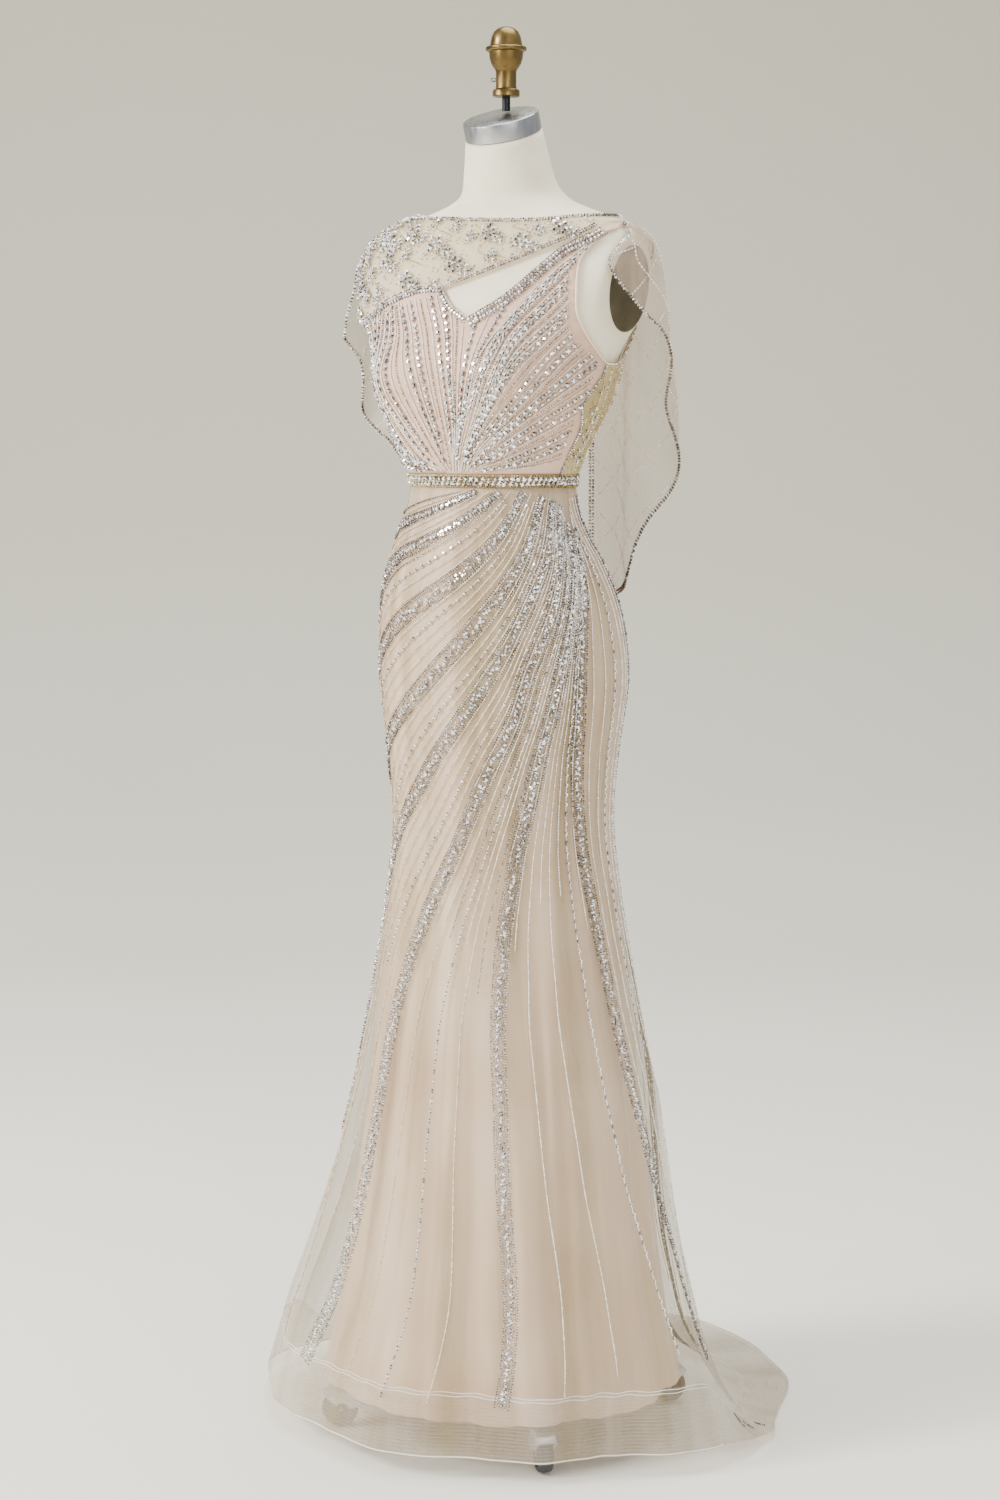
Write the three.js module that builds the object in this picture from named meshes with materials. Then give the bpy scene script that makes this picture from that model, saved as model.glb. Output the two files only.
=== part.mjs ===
import * as THREE from "three";

// Evening gown on a dress form. Millimetres, +Z up, front towards -Y, wearer's left towards +X.

const COLUMN_STEP = 10;
const COLUMNS = 360 / COLUMN_STEP;
const CLOTH = 1.4;
const BODY_GAP = 3;
const LAYER_GAP = 0.5;
const SEAM = 0.3;
const OUT = BODY_GAP + CLOTH;
const LINING_OUT = BODY_GAP;
const OVERLAY_OUT = LINING_OUT + CLOTH + LAYER_GAP;
const SNAP = 0.08;
const CELL_WIDTH = 25;

// Plan sections of the form from the neck down: half width, front and back edges, centre, tilt.
const FORM_SECTIONS = [
  // level, half, front, back, centre, tilt
  [1606, 46.5, -52, 41, -5, 0.36],
  [1570, 53, -49, 52, 2, 0.3],
  [1540, 62, -46, 62, 8, 0.2],
  [1526, 80, -48, 67, 9, 0.1],
  [1516, 106, -52, 71, 8, 0.06],
  [1507, 134, -58, 76, 6, 0.03],
  [1496, 160, -66, 82, 4, 0],
  [1484, 180, -75, 89, 2, 0],
  [1470, 193, -84, 95, 0, 0],
  [1448, 203, -97, 102, -3, 0],
  [1420, 205, -110, 106, -6, 0],
  [1395, 196, -119, 106, -10, 0],
  [1365, 172, -128, 104, -15, 0],
  [1340, 160, -136, 100, -22, 0],
  [1315, 156, -139, 95, -27, 0],
  [1290, 149, -138, 88, -28, 0],
  [1265, 138, -133, 77, -29, 0],
  [1240, 125, -126, 64, -31, 0],
  [1215, 114, -118, 53, -33, 0],
  [1190, 105, -108, 47, -30, 0],
  [1165, 106, -109, 49, -30, 0],
  [1140, 113, -116, 54, -31, 0],
  [1115, 123.5, -123, 65, -29, 0],
  [1090, 135, -129, 80, -25, 0],
  [1040, 149.5, -133, 101, -16, 0],
  [990, 155.7, -133, 114, -10, 0],
  [945, 155.5, -133, 120, -7, 0],
  [900, 150, -132, 117, -8, 0],
  [860, 144, -132, 114, -10, 0],
  [790, 136.4, -128, 110.7, -9, 0],
  [740, 136.8, -130.3, 114.7, -8, 0],
  [690, 142.6, -134, 120.6, -7, 0],
];

// The overskirt below the knee flares more than the lining under it.
const OVERLAY_SECTIONS = [
  [640, 149.6, -138.6, 128.6, -6, 0],
  [590, 159.6, -143.6, 134.6, -6, 0],
  [540, 169, -150.6, 143.6, -6, 0],
  [488, 181, -156.6, 150.6, -6, 0],
  [436, 193, -163.6, 157.6, -6, 0],
  [385, 206, -173.6, 167.6, -7, 0],
  [335, 219, -182.6, 175.6, -8, 0],
  [284, 234, -193.6, 183.6, -10, 0],
  [234, 248, -204.6, 180, -12, 0],
  [183, 263, -215.6, 180, -14, 0],
  [133, 278, -225.6, 180, -15, 0],
  [25, 300, -244, 200, -15, 0],
];
const LINING_SECTIONS = [
  [640, 148, -137.6, 127.6, -6, 0],
  [590, 155, -141.6, 132.6, -6, 0],
  [540, 160, -147, 139, -6, 0],
  [488, 166, -152, 144, -6, 0],
  [436, 172, -158, 150, -6, 0],
  [385, 179, -167, 157, -7, 0],
  [335, 185, -175, 165, -8, 0],
  [284, 191, -185, 174, -10, 0],
  [234, 197, -195, 183, -12, 0],
  [183, 204, -206, 192, -14, 0],
  [133, 212, -216, 201, -15, 0],
  [62, 229, -227, 214, -15, 0],
];

// Rows of the shared cloth grid, and the coarser rows of the skirt pieces.
const FORM_LEVELS = [
  860, 920, 980, 1040, 1090, 1140, 1181, 1198, 1220, 1245, 1270, 1295, 1320, 1345, 1370, 1395,
  1420, 1445, 1465, 1482, 1496, 1507, 1518, 1535, 1565, 1606,
];
const UPPER_SKIRT_LEVELS = [1181, 1140, 1090, 1040, 980, 920, 860, 790, 720, 650];
const OVERLAY_LEVELS = [570, 480, 390, 310, 235, 165, 104, 62, 25];
const LINING_LEVELS = [570, 480, 390, 310, 235, 165, 110, 62];
const BRAID_TOP = 104;

// Distance of the overskirt hem from its own centre, all the way round; the back is a train.
const HEM_CENTRE_Y = -20;
const HEM_OUTLINE = [
  // angle, radius
  [-180, 490],
  [-150, 420],
  [-120, 370],
  [-90, 335],
  [-65, 305],
  [-40, 262],
  [-17, 238],
  [8, 225],
  [28, 226],
  [47, 239],
  [62, 258],
  [76, 288],
  [97, 332],
  [115, 338],
  [132, 353],
  [150, 398],
  [161, 424],
  [175, 476],
  [180, 490],
];
const FLARE_LEVEL = 430;
const HEM_LEVEL = 25;
const TRAIN_LEVEL = 3;
const FLARE_POWER = 2.2;
const TRAIN_SAG = 1.3;

const BUST = { angle: 30, level: 1312, out: 17, spread: 17, height: 36, splay: 12 };
const ARM = { low: 1345, lean: 0.136, start: 1365, half: 167 };

const COLOURS = {
  form: "#e9e3d3",
  blush: "#e2cdbb",
  tulle: "#e4d8c8",
  beaded: "#d9ccbe",
  crystal: "#d8d2c6",
  sheer: "#ddd3c2",
  braid: "#e6dfd3",
  zip: "#d9c8b6",
  steel: "#a9abad",
  brass: "#96793f",
  plate: "#4f4a38",
  black: "#26262a",
  hood: "#b9bcc0",
  wheel: "#55575b",
};

const gown = new THREE.Group();
gown.name = "evening_gown";

// Smooth reading of one column of a table whose first column rises.
function read(table, x, column) {
  const last = table.length - 1;
  const at = Math.min(Math.max(x, table[0][0]), table[last][0]);
  let i = 0;
  while (i < last - 1 && table[i + 1][0] < at) {
    i += 1;
  }
  const slope = (k) => {
    const a = Math.max(k - 1, 0);
    const b = Math.min(k + 1, last);
    return (table[b][column] - table[a][column]) / (table[b][0] - table[a][0]);
  };
  const h = table[i + 1][0] - table[i][0];
  const t = (at - table[i][0]) / h;
  const t2 = t * t;
  const t3 = t2 * t;
  return (
    (2 * t3 - 3 * t2 + 1) * table[i][column] +
    (t3 - 2 * t2 + t) * h * slope(i) +
    (3 * t2 - 2 * t3) * table[i + 1][column] +
    (t3 - t2) * h * slope(i + 1)
  );
}

const rising = (table) => [...table].reverse();
const BODY = rising([...FORM_SECTIONS, ...OVERLAY_SECTIONS]);
const UNDER = rising([...FORM_SECTIONS, ...LINING_SECTIONS]);
const radians = (degrees) => (degrees * Math.PI) / 180;
const ease = (t) => {
  const c = Math.min(Math.max(t, 0), 1);
  return c * c * (3 - 2 * c);
};

// A point of the section surface, moved out by the given distance.
function sectionPoint(table, angle, level, out, armLimit = true) {
  const [half, front, back, centre, tilt] = [1, 2, 3, 4, 5].map((k) => read(table, level, k));
  const s = Math.sin(radians(angle));
  const c = Math.cos(radians(angle));
  const depth = c > 0 ? centre - front : back - centre;
  let x = half * s;
  let y = centre - depth * c;
  for (const side of [-1, 1]) {
    const across = (angle - side * BUST.angle) / BUST.spread;
    const up = (level - BUST.level) / BUST.height;
    const swell = BUST.out * Math.exp(-across * across - up * up);
    y -= swell * Math.cos(radians(BUST.splay));
    x += side * swell * Math.sin(radians(BUST.splay));
  }
  const n = new THREE.Vector2(s / half, -c / depth).normalize();
  x += out * n.x;
  y += out * n.y;
  if (armLimit && level > ARM.low) {
    const limit = ARM.half + ARM.lean * (level - ARM.start) + out;
    x = Math.min(Math.max(x, -limit), limit);
  }
  return new THREE.Vector3(x, y, level + tilt * (y - centre));
}

// Closed wall between an outer and an inner face that share one flat patch.
function wallSolid(name, patch, outer, inner, colour) {
  const count = patch.points.length;
  const positions = [];
  for (const place of [outer, inner]) {
    for (const [u, v] of patch.points) {
      positions.push(...place(u, v).toArray());
    }
  }
  const directed = new Set();
  for (const [a, b, c] of patch.faces) {
    directed.add(`${a},${b}`).add(`${b},${c}`).add(`${c},${a}`);
  }
  const faces = [];
  for (const [a, b, c] of patch.faces) {
    faces.push([a, b, c], [c + count, b + count, a + count]);
    for (const [p, q] of [[a, b], [b, c], [c, a]]) {
      if (!directed.has(`${q},${p}`)) {
        faces.push([q, p, p + count], [q, p + count, q + count]);
      }
    }
  }
  return addSolid(name, positions, faces, colour);
}

function signedVolume(positions, faces) {
  const p = (i) => new THREE.Vector3().fromArray(positions, i * 3);
  return faces.reduce((sum, [a, b, c]) => sum + p(a).dot(p(b).cross(p(c))) / 6, 0);
}

function addSolid(name, positions, faces, colour) {
  const flip = signedVolume(positions, faces) < 0;
  const geometry = new THREE.BufferGeometry();
  geometry.setAttribute("position", new THREE.Float32BufferAttribute(positions, 3));
  geometry.setIndex(faces.flatMap(([a, b, c]) => (flip ? [c, b, a] : [a, b, c])));
  geometry.computeVertexNormals();
  const mesh = new THREE.Mesh(geometry, new THREE.MeshStandardMaterial({ color: colour }));
  mesh.name = name;
  gown.add(mesh);
  return mesh;
}

// Rectangular patch of cells; across wraps round when the piece is a closed tube.
function gridPatch(across, down, wraps = false) {
  const width = wraps ? across : across + 1;
  const points = [];
  for (let j = 0; j <= down; j += 1) {
    for (let i = 0; i < width; i += 1) {
      points.push([i, j]);
    }
  }
  const faces = [];
  for (let j = 0; j < down; j += 1) {
    for (let i = 0; i < across; i += 1) {
      const a = j * width + i;
      const b = j * width + ((i + 1) % width);
      const c = a + width;
      const d = b + width;
      faces.push([a, b, d], [a, d, c]);
    }
  }
  return { points, faces };
}

// The three kinds of facet edge: columns, rows and the diagonal of a cell.
const LINES = {
  column: { value: ([u]) => u, fix: ([, v], at) => [at, v] },
  row: { value: ([, v]) => v, fix: ([u], at) => [u, at] },
  diagonal: { value: ([u, v]) => u - v, fix: ([, v], at) => [v + at, v] },
};

// Cut one polygon by a facet edge, keeping the side above it (1) or below it (-1).
function cutByLine(polygon, line, at, keep) {
  const result = [];
  const over = (p) => line.value(p) - at;
  const inside = (p) => keep * over(p) >= 0;
  polygon.forEach((p, k) => {
    const q = polygon[(k + 1) % polygon.length];
    if (inside(p)) {
      result.push(p);
    }
    if (inside(p) !== inside(q)) {
      const t = over(p) / (over(p) - over(q));
      result.push(line.fix([p[0] + t * (q[0] - p[0]), p[1] + t * (q[1] - p[1])], at));
    }
  });
  return result;
}

const nearWhole = (x) => Math.abs(x - Math.round(x)) < SNAP;
const isWhole = (x) => Math.abs(x - Math.round(x)) < 1e-7;

const onLine = ([u, v]) => isWhole(u) || isWhole(v) || isWhole(u - v);

// Points on a facet edge that nearly meet a grid corner move onto it.
function snapToCorner(p) {
  const near = onLine(p) && nearWhole(p[0]) && nearWhole(p[1]);
  return near ? [Math.round(p[0]), Math.round(p[1])] : p;
}

const keyOf = ([u, v]) => `${u.toFixed(4)},${v.toFixed(4)}`;

// Snap to corners and drop repeated points.
function tidyPiece(piece) {
  return piece.map(snapToCorner).filter((p, k, all) => {
    return keyOf(p) !== keyOf(all[(k + all.length - 1) % all.length]);
  });
}

// Draw the edge of a patch in by half a seam, so that neighbours stand a seam apart.
function insetPatch({ points, faces }) {
  const directed = new Set();
  for (const [a, b, c] of faces) {
    directed.add(`${a},${b}`).add(`${b},${c}`).add(`${c},${a}`);
  }
  const rowHeight = (v) => {
    const j = Math.min(Math.max(Math.floor(v), 0), FORM_LEVELS.length - 2);
    return FORM_LEVELS[j + 1] - FORM_LEVELS[j];
  };
  const inward = points.map(() => []);
  for (const edge of directed) {
    const [a, b] = edge.split(",").map(Number);
    if (!directed.has(`${b},${a}`)) {
      const x = (points[b][0] - points[a][0]) * CELL_WIDTH;
      const y = (points[b][1] - points[a][1]) * rowHeight(points[a][1]);
      const n = new THREE.Vector2(-y, x).normalize();
      inward[a].push(n);
      inward[b].push(n);
    }
  }
  const moved = points.map(([u, v], k) => {
    if (inward[k].length === 0) {
      return [u, v];
    }
    const sum = inward[k].reduce((total, n) => total.add(n), new THREE.Vector2()).normalize();
    const reach = SEAM / 2 / Math.max(sum.dot(inward[k][0]), 0.5);
    return [u + (sum.x * reach) / CELL_WIDTH, v + (sum.y * reach) / rowHeight(v)];
  });
  return { points: moved, faces };
}

// Patch of the shared cloth grid that lies inside an outline.
function outlinePatch(outline) {
  const index = new Map();
  const points = [];
  const faces = [];
  const indexOf = (p) => {
    const key = keyOf(p);
    if (!index.has(key)) {
      index.set(key, points.length);
      points.push(p);
    }
    return index.get(key);
  };
  const columns = outline.map((p) => p[0]);
  const rows = outline.map((p) => p[1]);
  const addPiece = (piece) => {
    if (piece.length < 3) {
      return;
    }
    const shape = piece.map(([u, v]) => new THREE.Vector2(u, v));
    for (const face of THREE.ShapeUtils.triangulateShape(shape, [])) {
      const ids = face.map((k) => indexOf(piece[k]));
      const area = THREE.ShapeUtils.area(face.map((k) => shape[k]));
      if (new Set(ids).size === 3 && Math.abs(area) > 1e-9) {
        faces.push(area < 0 ? [ids[2], ids[1], ids[0]] : ids);
      }
    }
  };
  for (let i = Math.floor(Math.min(...columns)); i < Math.max(...columns); i += 1) {
    let strip = cutByLine(outline, LINES.column, i, 1);
    strip = cutByLine(strip, LINES.column, i + 1, -1);
    for (let j = Math.floor(Math.min(...rows)); j < Math.max(...rows); j += 1) {
      let cell = cutByLine(strip, LINES.row, j, 1);
      cell = cutByLine(cell, LINES.row, j + 1, -1);
      addPiece(tidyPiece(cutByLine(cell, LINES.diagonal, i - j, 1)));
      addPiece(tidyPiece(cutByLine(cell, LINES.diagonal, i - j, -1)));
    }
  }
  return { points, faces };
}

const columnAngle = (u) => -180 + u * COLUMN_STEP;
const angleColumn = (angle) => (angle + 180) / COLUMN_STEP;
function levelRow(level) {
  let j = 0;
  while (j < FORM_LEVELS.length - 2 && FORM_LEVELS[j + 1] < level) {
    j += 1;
  }
  return j + (level - FORM_LEVELS[j]) / (FORM_LEVELS[j + 1] - FORM_LEVELS[j]);
}

// Outward direction of the form's surface.
function formNormal(angle, level, armLimit = true) {
  const at = (a, l) => sectionPoint(BODY, a, l, 0, armLimit);
  const around = at(angle + 2, level).sub(at(angle - 2, level));
  const upward = at(angle, level + 3).sub(at(angle, level - 3));
  return around.cross(upward).normalize();
}

// Point of the faceted cloth grid: corners lie on the sections, all else on the facets between.
function clothPoint(u, v, out) {
  const i = Math.floor(u + 1e-6);
  const j = Math.min(Math.floor(v + 1e-6), FORM_LEVELS.length - 2);
  const s = u - i;
  const t = v - j;
  const at = (a, b) => {
    const p = sectionPoint(BODY, columnAngle(a), FORM_LEVELS[b], 0);
    return p.addScaledVector(formNormal(columnAngle(a), FORM_LEVELS[b]), out);
  };
  const low = Math.min(s, t);
  const p = at(i, j).multiplyScalar(1 - Math.max(s, t));
  if (low > 1e-6) {
    p.addScaledVector(at(i + 1, j + 1), low);
  }
  if (s - low > 1e-6) {
    p.addScaledVector(at(i + 1, j), s - low);
  }
  if (t - low > 1e-6) {
    p.addScaledVector(at(i, j + 1), t - low);
  }
  return p;
}

// Smooth path through listed corners of a seam or edge.
function smooth(corners, pieces = 2) {
  const curve = new THREE.CatmullRomCurve3(
    corners.map(([a, l]) => new THREE.Vector3(angleColumn(a), levelRow(l), 0)),
    false,
    "centripetal",
  );
  return curve.getPoints((corners.length - 1) * pieces).map((p) => [p.x, p.y]);
}

const straight = (corners) => corners.map(([a, l]) => [angleColumn(a), levelRow(l)]);
const mirrored = (corners) => corners.map(([a, l]) => [-a, l]);

const flipped = (path) => path.map(([u, v]) => [COLUMNS - u, v]).reverse();

function clothPanel(name, outline, colour, raise = () => 0, base = BODY_GAP) {
  const closed = outline.filter((p, k) => {
    const q = outline[(k + outline.length - 1) % outline.length];
    return Math.hypot(p[0] - q[0], p[1] - q[1]) > 1e-4;
  });
  const patch = insetPatch(outlinePatch(closed));
  const outer = (u, v) => clothPoint(u, v, base + CLOTH + raise(u, v));
  const inner = (u, v) => clothPoint(u, v, base);
  return wallSolid(name, patch, outer, inner, colour);
}

// Seams and edges of the upper gown: angle round the body, level.
const WAIST_TOP = 1198.15;
const BELT_SPAN = [1181, 1198];
const SIDE_SEAM = [[78, WAIST_TOP], [81, 1225], [82, 1250], [76, 1282], [85, 1316], [87, 1330]];
const BACK_SEAM = [[118, WAIST_TOP], [120, 1260], [124, 1330], [128, 1380]];
const YOKE_SEAM = [[-72, 1380], [-57, 1383], [-43, 1388], [-31, 1402], [-14, 1416], [-5, 1416]];
const NECK_NOTCH = [[-5, 1416], [0, 1396], [8, 1380]];
const NECK_BAND = [[8, 1380], [19, 1404], [31, 1442], [38, 1460], [47, 1472], [60, 1484], [90, 1494.5]];
const ARMHOLE = [
  [90, 1490], [74, 1487], [59, 1479], [52, 1466], [47, 1450], [46, 1436], [47, 1414], [51, 1390],
  [59, 1372], [68, 1356], [82, 1336], [87, 1330],
];
const YOKE_TOP = [
  [-90, 1499], [-55, 1506], [-23, 1503], [13, 1497], [32, 1496], [56, 1499], [90, 1499.5],
];
const YOKE_LOW = [[-5, 1416], [9, 1432], [23, 1450], [38, 1468], [60, 1488], [90, 1496]];
const BACK_TOP = [[128, 1380], [150, 1404], [180, 1412]];
const BACK_YOKE_LOW = [[90, 1484], [110, 1470], [128, 1450], [150, 1430], [180, 1412]];

// Gather ridges of the sheer side panels.
const GATHER_DEPTH = 0.9;

function buildBodice() {
  const reverse = (path) => [...path].reverse();
  const rightSide = mirrored(SIDE_SEAM);
  const front = [
    ...straight([[-78, WAIST_TOP], [78, WAIST_TOP]]),
    ...smooth(SIDE_SEAM),
    ...smooth(reverse(ARMHOLE)),
    ...smooth(reverse(NECK_BAND)),
    ...smooth(reverse(NECK_NOTCH)),
    ...smooth(reverse(YOKE_SEAM)),
    ...smooth([[-72, 1380], [-78, 1362], [-87, 1330]]),
    ...smooth(reverse(rightSide)),
  ];
  clothPanel("bodice_front", front, COLOURS.beaded);
  const gather = (u) => GATHER_DEPTH * (0.5 + 0.5 * Math.cos(Math.PI * u));
  const left = [
    ...straight([[78, WAIST_TOP], [118, WAIST_TOP]]),
    ...smooth(BACK_SEAM),
    ...smooth([[128, 1380], [112, 1346], [98, 1332], [87, 1330]]),
    ...smooth(reverse(SIDE_SEAM)),
  ];
  clothPanel("bodice_side_left", left, COLOURS.sheer, gather);
  clothPanel("bodice_side_right", flipped(left), COLOURS.sheer, gather);
  const back = [
    ...straight([[118, WAIST_TOP], [180, WAIST_TOP]]),
    ...smooth(reverse(BACK_TOP)),
    ...smooth(reverse(BACK_SEAM)),
  ];
  clothPanel("bodice_back_left", back, COLOURS.blush);
  clothPanel("bodice_back_right", flipped(back), COLOURS.blush);
}

// Raised flower clusters of the yoke: angle, level, spread and rise.
const FLOWERS = [
  [-70, 1482], [-58, 1496], [-62, 1446], [-50, 1420], [-44, 1478], [-36, 1452], [-30, 1484],
  [-22, 1428], [-14, 1470], [-2, 1444], [8, 1482], [22, 1470], [40, 1486],
];
const FLOWER_RISE = 2.4;
const FLOWER_SPREAD = { angle: 7, level: 14 };

function flowerRise(u, v) {
  const angle = columnAngle(u);
  const j = Math.min(Math.floor(v), FORM_LEVELS.length - 2);
  const level = FORM_LEVELS[j] + (v - j) * (FORM_LEVELS[j + 1] - FORM_LEVELS[j]);
  const rises = FLOWERS.map(([a, l]) => {
    const d = ((angle - a) / FLOWER_SPREAD.angle) ** 2 + ((level - l) / FLOWER_SPREAD.level) ** 2;
    return FLOWER_RISE * Math.exp(-d);
  });
  return Math.max(...rises);
}

function buildYoke() {
  const reverse = (path) => [...path].reverse();
  const front = [
    ...smooth([[-90, 1440], [-90, 1400], [-82, 1383], [-72, 1380]]),
    ...smooth(YOKE_SEAM),
    ...smooth(YOKE_LOW),
    ...smooth(reverse(YOKE_TOP)),
  ];
  clothPanel("yoke_front", front, COLOURS.sheer, flowerRise);
  const back = [
    ...smooth(BACK_YOKE_LOW),
    ...smooth([[180, 1500], [150, 1500], [120, 1500], [90, 1499.5]]),
  ];
  clothPanel("yoke_back_left", back, COLOURS.sheer);
  clothPanel("yoke_back_right", flipped(back), COLOURS.sheer);
}

// Waistband: its outer points rise and fall with the crystal settings.
const BELT_STEP = 8;
const BELT_RISE = 1.2;
const BELT_BASE = 0.4;
const BELT_END = 179.9;

function buildBelt() {
  const angles = [];
  for (let a = -BELT_END; a < BELT_END - BELT_STEP / 2; a += BELT_STEP) {
    angles.push(a);
  }
  angles.push(BELT_END);
  const rows = [BELT_SPAN[0] + SEAM, (BELT_SPAN[0] + BELT_SPAN[1]) / 2, BELT_SPAN[1]];
  const patch = gridPatch(angles.length - 1, rows.length - 1);
  const place = (out) => (i, j) => {
    const v = levelRow(rows[j]);
    return clothPoint(angleColumn(angles[i]), v, out(i, j));
  };
  const rise = (i, j) => OUT + BELT_BASE + (j === 1 && i % 2 === 1 ? BELT_RISE : 0);
  wallSolid("belt", patch, place(rise), place(() => BODY_GAP), COLOURS.crystal);
}

const SKIRT_PARTS = [
  // name, first angle, last angle
  ["front", -90, 90],
  ["back_left", 90, 180],
  ["back_right", -180, -90],
];
const HALF_SEAM_ANGLE = 0.07;

function angleRun(first, last) {
  const angles = [first + HALF_SEAM_ANGLE];
  for (let a = first + COLUMN_STEP; a < last; a += COLUMN_STEP) {
    angles.push(a);
  }
  angles.push(last - HALF_SEAM_ANGLE);
  return angles;
}

// Vertical folds of the skirt: they grow from the knee to the hem.
const SKIRT_FOLDS = { count: 9, overlay: 5, lining: 5, start: 640, uneven: 0.4 };

function foldDepth(angle, level, depth) {
  const grow = ease((SKIRT_FOLDS.start - level) / (SKIRT_FOLDS.start - HEM_LEVEL));
  const sway = 1 + SKIRT_FOLDS.uneven * Math.sin(radians(angle) + 1);
  return depth * grow * sway * Math.cos(radians(angle * SKIRT_FOLDS.count + 20));
}

function overlayPoint(angle, level, out) {
  const fold = foldDepth(angle, level, SKIRT_FOLDS.overlay);
  const p = sectionPoint(BODY, angle, level, out + fold);
  if (level >= FLARE_LEVEL) {
    return p;
  }
  const q = (FLARE_LEVEL - level) / (FLARE_LEVEL - HEM_LEVEL);
  const end = sectionPoint(BODY, angle, HEM_LEVEL, 0);
  const reach = Math.hypot(end.x, end.y - HEM_CENTRE_Y);
  const extra = (read(HEM_OUTLINE, angle, 1) - reach) * q ** FLARE_POWER;
  const spoke = new THREE.Vector2(p.x, p.y - HEM_CENTRE_Y).normalize();
  const train = ease((Math.abs(angle) - 85) / 45);
  const low = HEM_LEVEL + (TRAIN_LEVEL - HEM_LEVEL) * train;
  const high = FLARE_LEVEL - HEM_LEVEL;
  const z = high * (1 - q) ** (1 + TRAIN_SAG * train) + low + (HEM_LEVEL - low) * (1 - q);
  return new THREE.Vector3(p.x + spoke.x * extra, p.y + spoke.y * extra, z);
}

function liningPoint(angle, level, out) {
  const fold = foldDepth(angle, level, SKIRT_FOLDS.lining);
  return sectionPoint(UNDER, angle, level, out + Math.min(fold, 0));
}

function skirtSheet(name, angles, levels, point, inner, outer, colour) {
  const patch = gridPatch(angles.length - 1, levels.length - 1);
  const place = (out) => (i, j) => point(angles[i], levels[j], out);
  wallSolid(name, patch, place(outer), place(inner), colour);
}

// Cloth whose wall runs nearly flat along the floor is thickened upward instead of outward.
function trainSheet(name, angles, levels, drop, colour) {
  const patch = gridPatch(angles.length - 1, levels.length - 1);
  const middle = (i, j) => overlayPoint(angles[i], levels[j], OVERLAY_OUT);
  const normal = (i, j) => {
    const step = 2;
    const a = overlayPoint(angles[i] - step, levels[j], OVERLAY_OUT);
    const b = overlayPoint(angles[i] + step, levels[j], OVERLAY_OUT);
    const c = overlayPoint(angles[i], levels[j] + step, OVERLAY_OUT);
    const d = overlayPoint(angles[i], Math.max(levels[j] - step, HEM_LEVEL), OVERLAY_OUT);
    return b.sub(a).cross(c.sub(d)).normalize();
  };
  const place = (off) => (i, j) => {
    const n = normal(i, j);
    return middle(i, j).addScaledVector(n, off);
  };
  wallSolid(name, patch, place(drop + CLOTH), place(drop), colour);
}

function buildSkirt() {
  for (const [part, first, last] of SKIRT_PARTS) {
    const angles = angleRun(first, last);
    const lining = [...UPPER_SKIRT_LEVELS, ...LINING_LEVELS];
    const liningName = `lining_${part}`;
    const outer = LINING_OUT + CLOTH;
    skirtSheet(liningName, angles, lining, liningPoint, LINING_OUT, outer, COLOURS.blush);
    const overlay = [...UPPER_SKIRT_LEVELS, ...OVERLAY_LEVELS];
    trainSheet(`overlay_${part}`, angles, overlay, 0, COLOURS.tulle);
    const braid = OVERLAY_LEVELS.filter((level) => level <= BRAID_TOP);
    trainSheet(`braid_${part}`, angles, braid, -CLOTH - LAYER_GAP, COLOURS.braid);
  }
}

// Capes: angles of the sewn edge and of the hanging cloth, and the hem level along the cape.
const CAPE_LEFT = {
  side: 1,
  sewn: [80, 170],
  hung: [56, 170],
  phase: 2.76,
  count: 3,
  hem: [
    [0, 1466], [0.05, 1430], [0.12, 1404], [0.2, 1378], [0.28, 1356], [0.38, 1306], [0.5, 1250],
    [0.62, 1178], [0.72, 1128], [0.81, 1060], [0.88, 1040], [1, 1025],
  ],
};
const CAPE_RIGHT = {
  side: -1,
  sewn: [80, 170],
  hung: [80, 170],
  phase: 1,
  count: 4.5,
  hem: [
    [0, 1362], [0.06, 1352], [0.13, 1330], [0.24, 1262], [0.35, 1226], [0.45, 1200], [0.6, 1160],
    [1, 1095],
  ],
};
const CAPE_FALLS = [0, 0.045, 0.09, 0.14, 0.26, 0.42, 0.6, 0.8, 1];
const CAPE_COLUMNS = 26;
const CAPE_OUT = 7.4;
const CAPE_SEAT = { gap: 0.5, over: 18 };
const CAPE_SEWN = 1492;
const CAPE_HANG = 1440;
const CAPE_SWING = { out: 9, over: 60 };
const FLUTES = { depth: 14, grow: 200, outward: 0.6 };

function capePoint(cape, s, t, off) {
  const hem = read(cape.hem, s, 1);
  const z = CAPE_SEWN + (hem - CAPE_SEWN) * t;
  const turn = ease((CAPE_SEWN - z) / (CAPE_SEWN - CAPE_HANG));
  const sewn = cape.sewn[0] + (cape.sewn[1] - cape.sewn[0]) * s;
  const hung = cape.hung[0] + (cape.hung[1] - cape.hung[0]) * s;
  const angle = sewn + (hung - sewn) * turn;
  const fall = Math.max(CAPE_HANG - z, 0);
  const swing = CAPE_SWING.out * ease(fall / CAPE_SWING.over);
  const wave = Math.sin(Math.PI * 2 * cape.count * s + cape.phase) + FLUTES.outward;
  const seated = (OUT + CAPE_SEAT.gap - CAPE_OUT) * (1 - ease((CAPE_SEWN - z) / CAPE_SEAT.over));
  const out = CAPE_OUT + seated + swing + FLUTES.depth * ease(fall / FLUTES.grow) * wave + off;
  const level = Math.max(z, CAPE_HANG);
  const normal = formNormal(cape.side * angle, level, false);
  const p = sectionPoint(BODY, cape.side * angle, level, 0, false).setZ(z);
  return p.addScaledVector(normal, out);
}

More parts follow.
